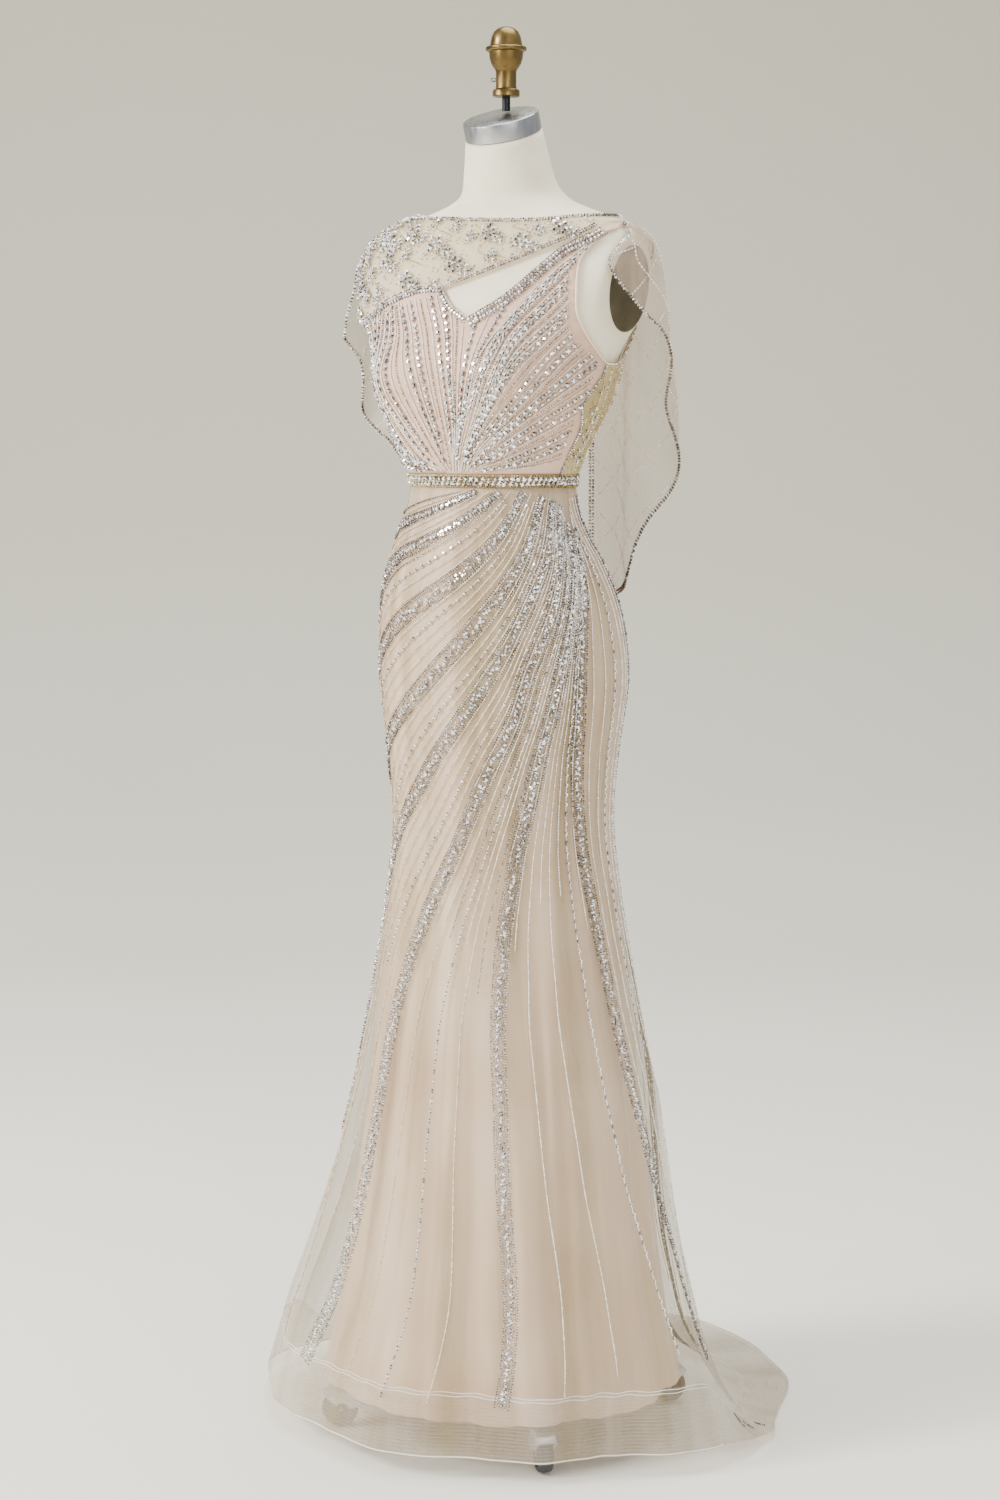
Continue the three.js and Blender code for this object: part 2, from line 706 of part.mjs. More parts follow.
function buildCapes() {
  for (const [name, cape] of [["cape_left", CAPE_LEFT], ["cape_right", CAPE_RIGHT]]) {
    const patch = gridPatch(CAPE_COLUMNS, CAPE_FALLS.length - 1);
    const place = (off) => (i, j) => capePoint(cape, i / CAPE_COLUMNS, CAPE_FALLS[j], off);
    wallSolid(name, patch, place(CLOTH), place(0), COLOURS.sheer);
  }
}

// Turned solid about a vertical line; the profile lists radius and height from the bottom up.
function turned(name, profile, sides, colour, place = (p) => p) {
  const rings = [];
  const positions = [];
  for (const [r, h] of profile) {
    const ring = [];
    const steps = r === 0 ? 1 : sides;
    for (let k = 0; k < steps; k += 1) {
      const a = radians((360 * k) / sides);
      ring.push(positions.length / 3);
      positions.push(...place(new THREE.Vector3(r * Math.cos(a), r * Math.sin(a), h)).toArray());
    }
    rings.push(ring);
  }
  const closed = profile[0][0] !== 0;
  const faces = [];
  const last = closed ? rings.length : rings.length - 1;
  for (let j = 0; j < last; j += 1) {
    const a = rings[j];
    const b = rings[(j + 1) % rings.length];
    for (let k = 0; k < sides; k += 1) {
      const m = (k + 1) % sides;
      if (a.length > 1) {
        faces.push([a[k], a[m], b[b.length > 1 ? m : 0]]);
      }
      if (b.length > 1) {
        faces.push([a[a.length > 1 ? k : 0], b[m], b[k]]);
      }
    }
  }
  return addSolid(name, positions, faces, colour);
}

// Profile of a plain round bar between two heights.
const drum = (radius, low, high) => [[0, low], [radius, low], [radius, high], [0, high]];

// Flat outline given a thickness, then placed.
function slab(name, outline, low, high, colour, place) {
  const shape = outline.map(([x, y]) => new THREE.Vector2(x, y));
  const faces = THREE.ShapeUtils.triangulateShape(shape, []);
  const at = (h) => (u, v) => place(new THREE.Vector3(u, v, h));
  return wallSolid(name, { points: outline, faces }, at(high), at(low), colour);
}

function buildForm() {
  const rows = FORM_LEVELS.length - 1;
  const patch = gridPatch(COLUMNS, rows, true);
  const positions = patch.points.flatMap(([i, j]) => {
    return sectionPoint(BODY, columnAngle(i), FORM_LEVELS[j], 0).toArray();
  });
  const faces = [...patch.faces];
  for (const [row, name] of [[0, "bottom"], [rows, "top"]]) {
    const centre = positions.length / 3;
    const ring = patch.points.map((p, k) => k).filter((k) => patch.points[k][1] === row);
    const middle = new THREE.Vector3();
    ring.forEach((k) => middle.add(new THREE.Vector3().fromArray(positions, k * 3)));
    positions.push(...middle.divideScalar(ring.length).toArray());
    ring.forEach((k, n) => {
      const next = ring[(n + 1) % ring.length];
      faces.push(name === "bottom" ? [next, k, centre] : [k, next, centre]);
    });
  }
  addSolid("form_torso", positions, faces, COLOURS.form);
}

const PLATE = { half: [44, 51], level: 1417, thick: 2, y: 0 };

function buildPlates() {
  for (const [name, side] of [["armhole_plate_left", 1], ["armhole_plate_right", -1]]) {
    const outline = [];
    for (let k = 0; k < 24; k += 1) {
      const a = radians(15 * k);
      outline.push([PLATE.half[0] * Math.cos(a), PLATE.half[1] * Math.sin(a)]);
    }
    const place = (p) => {
      const level = PLATE.level + p.y;
      const x = ARM.half + ARM.lean * (level - ARM.start) + p.z;
      return new THREE.Vector3(side * x, PLATE.y + p.x, level);
    };
    slab(name, outline, SEAM, SEAM + PLATE.thick, COLOURS.plate, place);
  }
}

// Neck cap, rod and finial.
const NECK_CAP = { radius: 47, tall: 22, tilt: 20, centre: [0, -5, 1605.8], edge: 2, crown: 1.5 };
const ROD = { radius: 5, low: 1634.9, high: 1651.7 };
const SCREW = { radius: 2.4, from: 13.2, to: 19, level: 1672, bearing: [-0.85, -0.5] };
const FINIAL_PROFILE = [
  [0, 1652], [16.5, 1652], [16.5, 1660], [13, 1662], [12.5, 1682], [15, 1686], [20, 1697],
  [21, 1706], [25, 1708], [25, 1711], [19.5, 1713], [18, 1722], [13, 1731], [6, 1735], [0, 1735],
];

function buildNeck() {
  const tilt = new THREE.Matrix4().makeRotationX(radians(NECK_CAP.tilt));
  const place = (p) => p.applyMatrix4(tilt).add(new THREE.Vector3(...NECK_CAP.centre));
  const { radius, tall, edge, crown } = NECK_CAP;
  const foot = SEAM + 0.2;
  const top = tall + crown;
  const profile = [[0, foot], [radius, foot], [radius, tall], [radius - edge, top], [0, top]];
  turned("neck_cap", profile, 30, COLOURS.steel, place);
  turned("finial_rod", drum(ROD.radius, ROD.low, ROD.high), 12, COLOURS.black);
  turned("finial", FINIAL_PROFILE, 20, COLOURS.brass);
  const [ahead, aside] = SCREW.bearing;
  const out = (p) => {
    const x = ahead * p.z + aside * p.x;
    const y = aside * p.z - ahead * p.x;
    return new THREE.Vector3(x, y, SCREW.level + p.y);
  };
  turned("finial_screw", drum(SCREW.radius, SCREW.from, SCREW.to), 10, COLOURS.steel, out);
}

// Stand: pole, hub, four legs and swivelling casters.
const POLE = { radius: 12.5, low: 72, high: 859.6 };
const HUB = { bore: 12.9, outer: 33, low: 76, high: 116 };
const CASTER = { reach: 190, trail: 24, wheel: 23, width: 18, crown: [48, 53], cheek: 3 };
const WHEEL_SIDES = 18;
const WHEEL_BORE = 3.4;
const AXLE_RADIUS = 3;
const STEM = { radius: 5, high: 62.7 };
const HOOD = { lip: 7, from: -7, past: 12, play: 0.8 };
const LEG_HALF = 9;
const LEG_SIDE = [
  // distance from the pole, height
  [32.9, 90],
  [140, 70],
  [178, 63],
  [202, 63],
  [202, 74],
  [178, 76],
  [140, 84],
  [32.9, 110],
];
const CORNERS = [
  // name, direction from the front, turning towards the wearer's left
  ["front_left", 45],
  ["front_right", -45],
  ["back_left", 135],
  ["back_right", -135],
];

function buildStand() {
  turned("pole", drum(POLE.radius, POLE.low, POLE.high), 20, COLOURS.steel);
  const { bore, outer } = HUB;
  const ring = [[bore, HUB.low], [outer, HUB.low], [outer, HUB.high], [bore, HUB.high]];
  turned("base_hub", ring, 20, COLOURS.steel);
  for (const [corner, degrees] of CORNERS) {
    buildCorner(corner, radians(degrees));
  }
}

function buildCorner(corner, turn) {
  const along = new THREE.Vector3(Math.sin(turn), -Math.cos(turn), 0);
  const across = new THREE.Vector3(Math.cos(turn), Math.sin(turn), 0);
  const place = (r, w, z) => {
    return new THREE.Vector3(0, 0, z).addScaledVector(along, r).addScaledVector(across, w);
  };
  const legPlace = (p) => place(p.x, p.z, p.y);
  slab(`leg_${corner}`, LEG_SIDE, -LEG_HALF, LEG_HALF, COLOURS.steel, legPlace);
  const { reach, trail, wheel, width, crown, cheek } = CASTER;
  const inner = width / 2 + HOOD.play;
  const outer = inner + cheek;
  const axle = wheel * Math.cos(Math.PI / WHEEL_SIDES);
  const lip = axle - HOOD.lip;
  const [under, top] = crown;
  const hood = [
    [-outer, lip], [-inner, lip], [-inner, under], [inner, under], [inner, lip], [outer, lip],
    [outer, top], [-outer, top],
  ];
  const hoodPlace = (p) => place(reach + p.z, p.x, p.y);
  slab(`caster_hood_${corner}`, hood, HOOD.from, trail + HOOD.past, COLOURS.hood, hoodPlace);
  const stem = drum(STEM.radius, top + SEAM, STEM.high);
  turned(`caster_stem_${corner}`, stem, 12, COLOURS.steel, (p) => place(reach + p.x, p.y, p.z));
  const spin = (p) => place(reach + trail + p.x, p.z, axle + p.y);
  const half = width / 2;
  const tyre = [[WHEEL_BORE, -half], [wheel, -half], [wheel, half], [WHEEL_BORE, half]];
  turned(`caster_wheel_${corner}`, tyre, WHEEL_SIDES, COLOURS.wheel, spin);
  const pin = drum(AXLE_RADIUS, SEAM - inner, inner - SEAM);
  turned(`caster_axle_${corner}`, pin, WHEEL_SIDES, COLOURS.steel, spin);
}

// Centre-back zip on the outside of the seam.
const ZIP = { top: 1494, bottom: 1010, half: 3, thick: 1.2, lift: 0.4 };
// Half width, start and length down the tape, height off the tape and thickness of each piece.
const SLIDER = { half: 3.5, from: 0, length: 9, low: 0.3, thick: 2.6 };
const PULL = { half: 2.4, from: 2, length: 22, low: 3.6, thick: 1 };

function seamFrame(level, out) {
  const p = clothPoint(COLUMNS, levelRow(level), out);
  const q = clothPoint(COLUMNS, levelRow(level - 20), out);
  const down = q.sub(p).normalize();
  const across = new THREE.Vector3(1, 0, 0);
  const away = new THREE.Vector3().crossVectors(across, down).normalize();
  if (away.y < 0) {
    away.negate();
  }
  return { p, down, across, away };
}

function buildZip() {
  const levels = FORM_LEVELS.filter((level) => level > ZIP.bottom && level < ZIP.top);
  const rows = [ZIP.top, ...levels.reverse(), ZIP.bottom];
  const patch = gridPatch(2, rows.length - 1);
  const under = (level) => (level <= BELT_SPAN[0] ? OVERLAY_OUT + CLOTH : OUT + BELT_BASE);
  const lift = (level) => under(level) + ZIP.lift;
  const place = (off) => (i, j) => {
    const p = clothPoint(COLUMNS, levelRow(rows[j]), lift(rows[j]) + off);
    const edge = clothPoint(COLUMNS - 1, levelRow(rows[j]), lift(rows[j]) + off);
    const step = (ZIP.half * Math.abs(i - 1)) / Math.abs(edge.x - p.x);
    const point = p.lerp(edge, step);
    point.x = (i - 1) * ZIP.half;
    return point;
  };
  wallSolid("zip_tape", patch, place(ZIP.thick), place(0), COLOURS.zip);
  const frame = seamFrame(ZIP.top - 4, OUT + 1.8 + ZIP.thick);
  const put = (q) => {
    const p = frame.p.clone().addScaledVector(frame.across, q.x);
    return p.addScaledVector(frame.down, q.y).addScaledVector(frame.away, q.z);
  };
  for (const [name, size] of [["zip_slider", SLIDER], ["zip_pull", PULL]]) {
    const { half, from, length, low, thick } = size;
    const end = from + length;
    const outline = [[-half, from], [half, from], [half, end], [-half, end]];
    slab(name, outline, low, low + thick, COLOURS.steel, put);
  }
}

buildForm();
buildPlates();
buildNeck();
buildStand();
buildBodice();
buildYoke();
buildBelt();
buildSkirt();
buildCapes();
buildZip();

// The origin is the bottom centre of the whole object.
const bounds = new THREE.Box3().setFromObject(gown);
const centre = bounds.getCenter(new THREE.Vector3());
for (const mesh of gown.children) {
  mesh.geometry.translate(-centre.x, -centre.y, -bounds.min.z);
}

export default gown;
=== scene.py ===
"""Evening gown on a dress form: cloth, beading, form and stand, in metres in the shared frame."""

import logging
import math
from dataclasses import dataclass, field
from enum import Enum
from typing import Callable, Sequence

import bpy
import numpy as np
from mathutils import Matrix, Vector
from mathutils.geometry import delaunay_2d_cdt


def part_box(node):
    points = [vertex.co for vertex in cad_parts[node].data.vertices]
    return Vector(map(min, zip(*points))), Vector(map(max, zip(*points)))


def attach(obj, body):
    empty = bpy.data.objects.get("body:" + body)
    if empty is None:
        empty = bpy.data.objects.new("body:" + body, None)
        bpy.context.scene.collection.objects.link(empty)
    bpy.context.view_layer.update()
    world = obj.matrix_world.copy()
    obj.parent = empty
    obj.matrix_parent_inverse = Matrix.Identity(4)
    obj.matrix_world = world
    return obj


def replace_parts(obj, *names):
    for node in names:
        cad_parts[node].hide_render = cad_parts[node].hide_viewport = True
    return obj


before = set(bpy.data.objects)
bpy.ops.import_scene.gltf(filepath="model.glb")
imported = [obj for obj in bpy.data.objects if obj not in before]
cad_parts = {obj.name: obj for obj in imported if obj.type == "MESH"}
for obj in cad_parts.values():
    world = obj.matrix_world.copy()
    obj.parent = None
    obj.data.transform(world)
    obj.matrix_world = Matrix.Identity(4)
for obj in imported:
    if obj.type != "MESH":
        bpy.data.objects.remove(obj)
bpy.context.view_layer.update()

Array = np.ndarray
Surface = Callable[[Array, Array, float], Array]
LOG = logging.getLogger("gown")
MM = 0.001
_LOW, _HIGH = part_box("pole")
AXIS = np.array([(_LOW[0] + _HIGH[0]) / 2, (_LOW[1] + _HIGH[1]) / 2, 0.0])

# Plan sections of the form, overskirt and lining in millimetres.
FORM_SECTIONS = [
    # level, half, front, back, centre, tilt
    (1606, 46.5, -52, 41, -5, 0.36),
    (1570, 53, -49, 52, 2, 0.3),
    (1540, 62, -46, 62, 8, 0.2),
    (1526, 80, -48, 67, 9, 0.1),
    (1516, 106, -52, 71, 8, 0.06),
    (1507, 134, -58, 76, 6, 0.03),
    (1496, 160, -66, 82, 4, 0),
    (1484, 180, -75, 89, 2, 0),
    (1470, 193, -84, 95, 0, 0),
    (1448, 203, -97, 102, -3, 0),
    (1420, 205, -110, 106, -6, 0),
    (1395, 196, -119, 106, -10, 0),
    (1365, 172, -128, 104, -15, 0),
    (1340, 160, -136, 100, -22, 0),
    (1315, 156, -139, 95, -27, 0),
    (1290, 149, -138, 88, -28, 0),
    (1265, 138, -133, 77, -29, 0),
    (1240, 125, -126, 64, -31, 0),
    (1215, 114, -118, 53, -33, 0),
    (1190, 105, -108, 47, -30, 0),
    (1165, 106, -109, 49, -30, 0),
    (1140, 113, -116, 54, -31, 0),
    (1115, 123.5, -123, 65, -29, 0),
    (1090, 135, -129, 80, -25, 0),
    (1040, 149.5, -133, 101, -16, 0),
    (990, 155.7, -133, 114, -10, 0),
    (945, 155.5, -133, 120, -7, 0),
    (900, 150, -132, 117, -8, 0),
    (860, 144, -132, 114, -10, 0),
    (790, 136.4, -128, 110.7, -9, 0),
    (740, 136.8, -130.3, 114.7, -8, 0),
    (690, 142.6, -134, 120.6, -7, 0),
]
OVERLAY_SECTIONS = [
    (640, 149.6, -138.6, 128.6, -6, 0), (590, 159.6, -143.6, 134.6, -6, 0),
    (540, 169, -150.6, 143.6, -6, 0), (488, 181, -156.6, 150.6, -6, 0), (436, 193, -163.6, 157.6, -6, 0),
    (385, 206, -173.6, 167.6, -7, 0), (335, 219, -182.6, 175.6, -8, 0), (284, 234, -193.6, 183.6, -10, 0),
    (234, 248, -204.6, 180, -12, 0), (183, 263, -215.6, 180, -14, 0), (133, 278, -225.6, 180, -15, 0),
    (25, 300, -244, 200, -15, 0),
]
LINING_SECTIONS = [
    (640, 148, -137.6, 127.6, -6, 0), (590, 155, -141.6, 132.6, -6, 0), (540, 160, -147, 139, -6, 0),
    (488, 166, -152, 144, -6, 0), (436, 172, -158, 150, -6, 0), (385, 179, -167, 157, -7, 0),
    (335, 185, -175, 165, -8, 0), (284, 191, -185, 174, -10, 0), (234, 197, -195, 183, -12, 0),
    (183, 204, -206, 192, -14, 0), (133, 212, -216, 201, -15, 0), (62, 229, -227, 214, -15, 0),
]
HEM_OUTLINE = [
    # angle, radius about the hem's own centre
    (-180, 490),
    (-150, 420),
    (-120, 370),
    (-90, 335),
    (-65, 305),
    (-40, 262),
    (-17, 238),
    (8, 225),
    (28, 226),
    (47, 239),
    (62, 258),
    (76, 288),
    (97, 332),
    (115, 338),
    (132, 353),
    (150, 398),
    (161, 424),
    (175, 476),
    (180, 490),
]
BODY = np.array((FORM_SECTIONS + OVERLAY_SECTIONS)[::-1], float)
UNDER = np.array((FORM_SECTIONS + LINING_SECTIONS)[::-1], float)
HEM = np.array(HEM_OUTLINE, float)

# Heights of the cloth over the form, and of beading over the cloth.
CLOTH_OUT = 3.7
LINING_OUT = 3.7
OVERLAY_OUT = 4.9
BRAID_IN = 1.2
STONE_OUT = 1.2

# Soft ridges of the skirt that fall to the hem.
RIDGES = [
    # angle, spread, depth, start level
    (-172, 5, 5.0, 620),
    (-158, 4, 3.0, 420),
    (-141, 6, 5.5, 700),
    (-126, 4, 3.5, 360),
    (-112, 5, 4.5, 560),
    (-94, 4, 3.0, 470),
    (-79, 5, 4.5, 640),
    (-63, 3, 2.6, 380),
    (-49, 5, 4.0, 600),
    (-35, 3, 2.4, 330),
    (-20, 4, 3.6, 520),
    (-4, 3, 2.2, 400),
    (9, 5, 4.0, 650),
    (24, 3, 2.6, 360),
    (38, 4, 4.6, 560),
    (51, 3, 3.6, 690),
    (60, 3, 4.4, 500),
    (72, 4, 3.0, 400),
    (86, 5, 4.6, 620),
    (103, 4, 3.4, 440),
    (118, 5, 4.4, 580),
    (133, 4, 3.0, 380),
    (149, 6, 5.0, 640),
    (166, 4, 3.4, 450),
]

# Soft troughs of the lining, which fall into its hollow.
TROUGHS = [
    # angle, width, depth, start level
    (-166, 3.5, 8, 640),
    (-148, 3, 6, 480),
    (-124, 3.5, 9, 600),
    (-104, 3, 6, 440),
    (-84, 3.5, 8, 560),
    (-58, 3, 6, 430),
    (-38, 3.5, 8, 520),
    (-16, 3, 6, 400),
    (0, 3.5, 7, 500),
    (17, 3, 6, 430),
    (31, 3, 8, 560),
    (44, 2.6, 9, 690),
    (52, 2.8, 11, 620),
    (65, 3.5, 9, 520),
    (80, 3, 6, 430),
    (96, 3.5, 8, 560),
    (114, 3, 7, 440),
    (138, 3.5, 8, 600),
    (158, 3, 6, 460),
]


def ease(t: Array) -> Array:
    """Smooth step from 0 to 1."""
    c = np.clip(t, 0, 1)
    return c * c * (3 - 2 * c)


def read(table: Array, x: Array, column: int) -> Array:
    """Reads a column of a rising table along a smooth curve.

    Args:
        table: rows of numbers whose first column rises.
        x: places on the first column.
        column: the column that is read.

    Returns:
        The values at x.
    """
    xs, ys = table[:, 0], table[:, column]
    x = np.clip(x, xs[0], xs[-1])
    i = np.clip(np.searchsorted(xs, x) - 1, 0, len(xs) - 2)
    order = np.arange(len(xs))
    after, before = np.minimum(order + 1, len(xs) - 1), np.maximum(order - 1, 0)
    slope = (ys[after] - ys[before]) / (xs[after] - xs[before])
    h = xs[i + 1] - xs[i]
    t = (x - xs[i]) / h
    start = (2 * t**3 - 3 * t**2 + 1) * ys[i] + (t**3 - 2 * t**2 + t) * h * slope[i]
    end = (3 * t**2 - 2 * t**3) * ys[i + 1] + (t**3 - t**2) * h * slope[i + 1]
    return start + end


def section(table: Array, angle: Array, level: Array, out: Array, arm: bool = True) -> Array:
    """Points of the section surface in millimetres.

    Args:
        table: the plan sections.
        angle: degrees towards the wearer's left.
        level: height.
        out: distance outward in plan.
        arm: whether the sides are cut flat at the armholes.

    Returns:
        One point for each angle.
    """
    half, front, back, centre, tilt = (read(table, level, k) for k in range(1, 6))
    s, c = np.sin(np.radians(angle)), np.cos(np.radians(angle))
    depth = np.where(c > 0, centre - front, back - centre)
    x, y = half * s, centre - depth * c
    for side in (-1, 1):
        swell = 17 * np.exp(-(((angle - side * 30) / 17) ** 2) - ((level - 1312) / 36) ** 2)
        x = x + side * swell * math.sin(math.radians(12))
        y = y - swell * math.cos(math.radians(12))
    n = np.stack([s / half, -c / depth])
    n = n / np.linalg.norm(n, axis=0)
    x, y = x + out * n[0], y + out * n[1]
    if arm:
        limit = np.where(level > 1345, 167 + 0.136 * (level - 1365) + out, 1e4)
        x = np.clip(x, -limit, limit)
    return np.stack([x, y, level + tilt * (y - centre)], -1)


def unit(v: Array) -> Array:
    """Vectors scaled to length 1."""
    return v / np.maximum(np.linalg.norm(v, axis=-1, keepdims=True), 1e-9)


def spread(a: Array, b: Array) -> tuple[Array, Array]:
    """The two inputs as float arrays of one shape."""
    a, b = np.broadcast_arrays(np.asarray(a, float), np.asarray(b, float))
    return a.copy(), b.copy()


def body(angle: Array, level: Array, out: float = 0.0, arm: bool = True) -> Array:
    """Points at a distance from the form along its own normal, in metres.

    Args:
        angle: degrees towards the wearer's left.
        level: height in millimetres.
        out: distance outward in millimetres.
        arm: whether the sides are cut flat at the armholes.

    Returns:
        One point for each angle.
    """
    angle, level = spread(angle, level)
    side = section(BODY, angle + 2, level, 0, arm) - section(BODY, angle - 2, level, 0, arm)
    rise = section(BODY, angle, level + 3, 0, arm) - section(BODY, angle, level - 3, 0, arm)
    normal = unit(np.cross(side, rise))
    return (section(BODY, angle, level, 0, arm) + np.asarray(out)[..., None] * normal) * MM + AXIS


def on_form(angle: Array, level: Array, out: float = 0.0) -> Array:
    """Points on the cloth of the upper gown, in metres."""
    return body(angle, level, np.full(np.shape(angle), CLOTH_OUT) + out)


def ripple(angle: Array, level: Array) -> Array:
    """Height of the soft ridges at a place of the skirt.

    Args:
        angle: degrees towards the wearer's left.
        level: height in millimetres.

    Returns:
        Heights in millimetres.
    """
    total = np.zeros_like(angle)
    for at, width, depth, start in RIDGES:
        away = (angle - at + 180) % 360 - 180
        total += depth * ease((start - level) / (start - 60)) * np.exp(-((away / width) ** 2))
    return total


def fold(angle: Array, level: Array) -> Array:
    """Depth of the nine long folds from the knee to the hem.

    Args:
        angle: degrees towards the wearer's left.
        level: height in millimetres.

    Returns:
        Depths in millimetres, outward.
    """
    grow = ease((640 - level) / 615)
    sway = 1 + 0.4 * np.sin(np.radians(angle) + 1)
    return 5 * grow * sway * np.cos(np.radians(angle * 9 + 20))


def overskirt(angle: Array, level: Array, out: float = 0.0) -> Array:
    """Points of the tulle overskirt, which spreads into a train behind, in metres.

    Args:
        angle: degrees towards the wearer's left.
        level: height in millimetres.
        out: distance outward in millimetres.

    Returns:
        One point for each angle.
    """
    angle, level = spread(angle, level)
    lift = fold(angle, level) + 0.8 * ripple(angle, level)
    p = section(BODY, angle, level, OVERLAY_OUT + out + lift)
    q = np.clip((430 - level) / 405, 0, 1)
    end = section(BODY, angle, np.full_like(level, 25), 0)
    extra = (read(HEM, angle, 1) - np.hypot(end[..., 0], end[..., 1] + 20)) * q**2.2
    spoke = unit(p[..., :2] + np.array([0, 20]))
    train = ease((np.abs(angle) - 85) / 45)
    low = 25 - 22 * train
    z = 405 * (1 - q) ** (1 + 1.3 * train) + low + (25 - low) * (1 - q)
    z = np.where(level < 430, z + out * train * q, p[..., 2])
    flat = p[..., :2] + spoke * extra[..., None]
    return np.concatenate([flat, z[..., None]], -1) * MM + AXIS


def underskirt(angle: Array, level: Array, out: float = 0.0) -> Array:
    """Points of the lining skirt, in metres.

    Args:
        angle: degrees towards the wearer's left.
        level: height in millimetres.
        out: distance outward in millimetres.

    Returns:
        One point for each angle.
    """
    angle, level = spread(angle, level)
    inward = np.minimum(fold(angle, level), 0) - 4 * ease((640 - level) / 500)
    for at, width, depth, start in TROUGHS:
        away = (angle - at - 0.012 * (start - level) + 180) % 360 - 180
        inward -= depth * ease((start - level) / 300) * np.exp(-((away / width) ** 2))
    p = section(UNDER, angle, level, LINING_OUT + out + inward + 0.8 * ripple(angle, level))
    return p * MM + AXIS


def inner_skirt(angle: Array, level: Array, out: float = 0.0) -> Array:
    """Points of the braid, just inside the overskirt, in metres."""
    return overskirt(angle, level, out - BRAID_IN)


@dataclass(frozen=True)
class Cape:
    """Half cape that hangs from the shoulder.

    Attributes:
        side: 1 on the wearer's left and -1 on the right.
        sewn: first and last angle of the sewn edge.
        hung: first and last angle of the hanging cloth.
        phase: where the flutes start.
        count: how many flutes there are.
        hem: rows of share along the cape and hem level.
    """

    side: int
    sewn: tuple[float, float]
    hung: tuple[float, float]
    phase: float
    count: float
    hem: tuple[tuple[float, float], ...]

    def hem_level(self, s: Array) -> Array:
        """Level of the hem at a share of the way along."""
        return read(np.array(self.hem, float), s, 1)

    def surface(self, s: Array, t: Array, out: float = 0.0) -> Array:
        """Points of the cape in metres.

        Args:
            s: share of the way along from the front edge.
            t: share of the way down to the hem.
            out: distance off the cloth.

        Returns:
            One point for each share.
        """
        s, t = spread(s, t)
        z = 1492 + (self.hem_level(s) - 1492) * t
        turn = ease((1492 - z) / 52)
        sewn = self.sewn[0] + (self.sewn[1] - self.sewn[0]) * s
        hung = self.hung[0] + (self.hung[1] - self.hung[0]) * s
        angle = self.side * (sewn + (hung - sewn) * turn)
        drop = np.maximum(1440 - z, 0)
        wave = np.sin(2 * np.pi * self.count * s + self.phase) + 0.6
        seat = (4.9 - 7.4) * (1 - ease((1492 - z) / 18))
        off = 7.4 + seat + 9 * ease(drop / 60) + 14 * ease(drop / 200) * wave + 0.7 + out
        level = np.maximum(z, 1440)
        p = section(BODY, angle, level, 0, False)
        side = section(BODY, angle + 2, level, 0, False) - section(BODY, angle - 2, level, 0, False)
        rise = section(BODY, angle, level + 3, 0, False) - section(BODY, angle, level - 3, 0, False)
        p[..., 2] = z
        return (p + off[..., None] * unit(np.cross(side, rise))) * MM + AXIS


CAPES = {
    "left": Cape(
        1,
        (80, 170), (56, 170),
        2.76,
        3,
        (
            (0, 1466), (0.05, 1430), (0.12, 1404), (0.2, 1378), (0.28, 1356), (0.38, 1306), (0.5, 1250),
            (0.62, 1178), (0.72, 1128), (0.81, 1060), (0.88, 1040), (1, 1025),
        ),
    ),
    "right": Cape(
        -1,
        (80, 170), (80, 170),
        1,
        4.5,
        (
            (0, 1362), (0.06, 1352), (0.13, 1330), (0.24, 1262), (0.35, 1226), (0.45, 1200), (0.6, 1160),
            (1, 1095),
        ),
    ),
}


def rgb(code: str) -> tuple[float, float, float, float]:
    """Linear colour of a screen colour such as #e9e3d3.

    Args:
        code: the screen colour.

    Returns:
        Red, green, blue and full cover.
    """
    parts = [int(code[k : k + 2], 16) / 255 for k in (1, 3, 5)]
    linear = [c / 12.92 if c <= 0.04045 else ((c + 0.055) / 1.055) ** 2.4 for c in parts]
    return (*linear, 1.0)


class Graph:
    """Short way to add and join nodes in a tree."""

    def __init__(self, tree: bpy.types.NodeTree) -> None:
        """Starts on an empty tree."""
        self.tree = tree
        tree.nodes.clear()

    def add(self, kind: str, sets: dict | None = None, **inputs: object) -> bpy.types.Node:
        """Adds a node.

        Args:
            kind: the node's type name.
            sets: its properties.
            inputs: its inputs by name, with _ for a space, or i0, i1 by number.

        Returns:
            The node.
        """
        node = self.tree.nodes.new(kind)
        for key, value in (sets or {}).items():
            setattr(node, key, value)
        for key, value in inputs.items():
            number = key[0] == "i" and key[1:].isdigit()
            socket = node.inputs[int(key[1:]) if number else key.replace("_", " ")]
            if isinstance(value, bpy.types.NodeSocket):
                self.tree.links.new(value, socket)
            else:
                socket.default_value = value
        return node

    def maths(self, how: str, *values: object) -> bpy.types.NodeSocket:
        """Result of a Math node."""
        inputs = {f"i{k}": v for k, v in enumerate(values)}
        return self.add("ShaderNodeMath", {"operation": how}, **inputs).outputs[0]

    def ramp(self, factor: bpy.types.NodeSocket, stops: Sequence[tuple]) -> bpy.types.NodeSocket:
        """Colour ramp of (place, colour code) stops.

        Args:
            factor: what drives the ramp.
            stops: places and colour codes.

        Returns:
            The ramp's colour.
        """
        node = self.add("ShaderNodeValToRGB", Fac=factor)
        band = node.color_ramp.elements
        while len(band) < len(stops):
            band.new(0.5)
        for element, (place, code) in zip(band, stops):
            element.position = place
            element.color = rgb(code)
        return node.outputs["Color"]


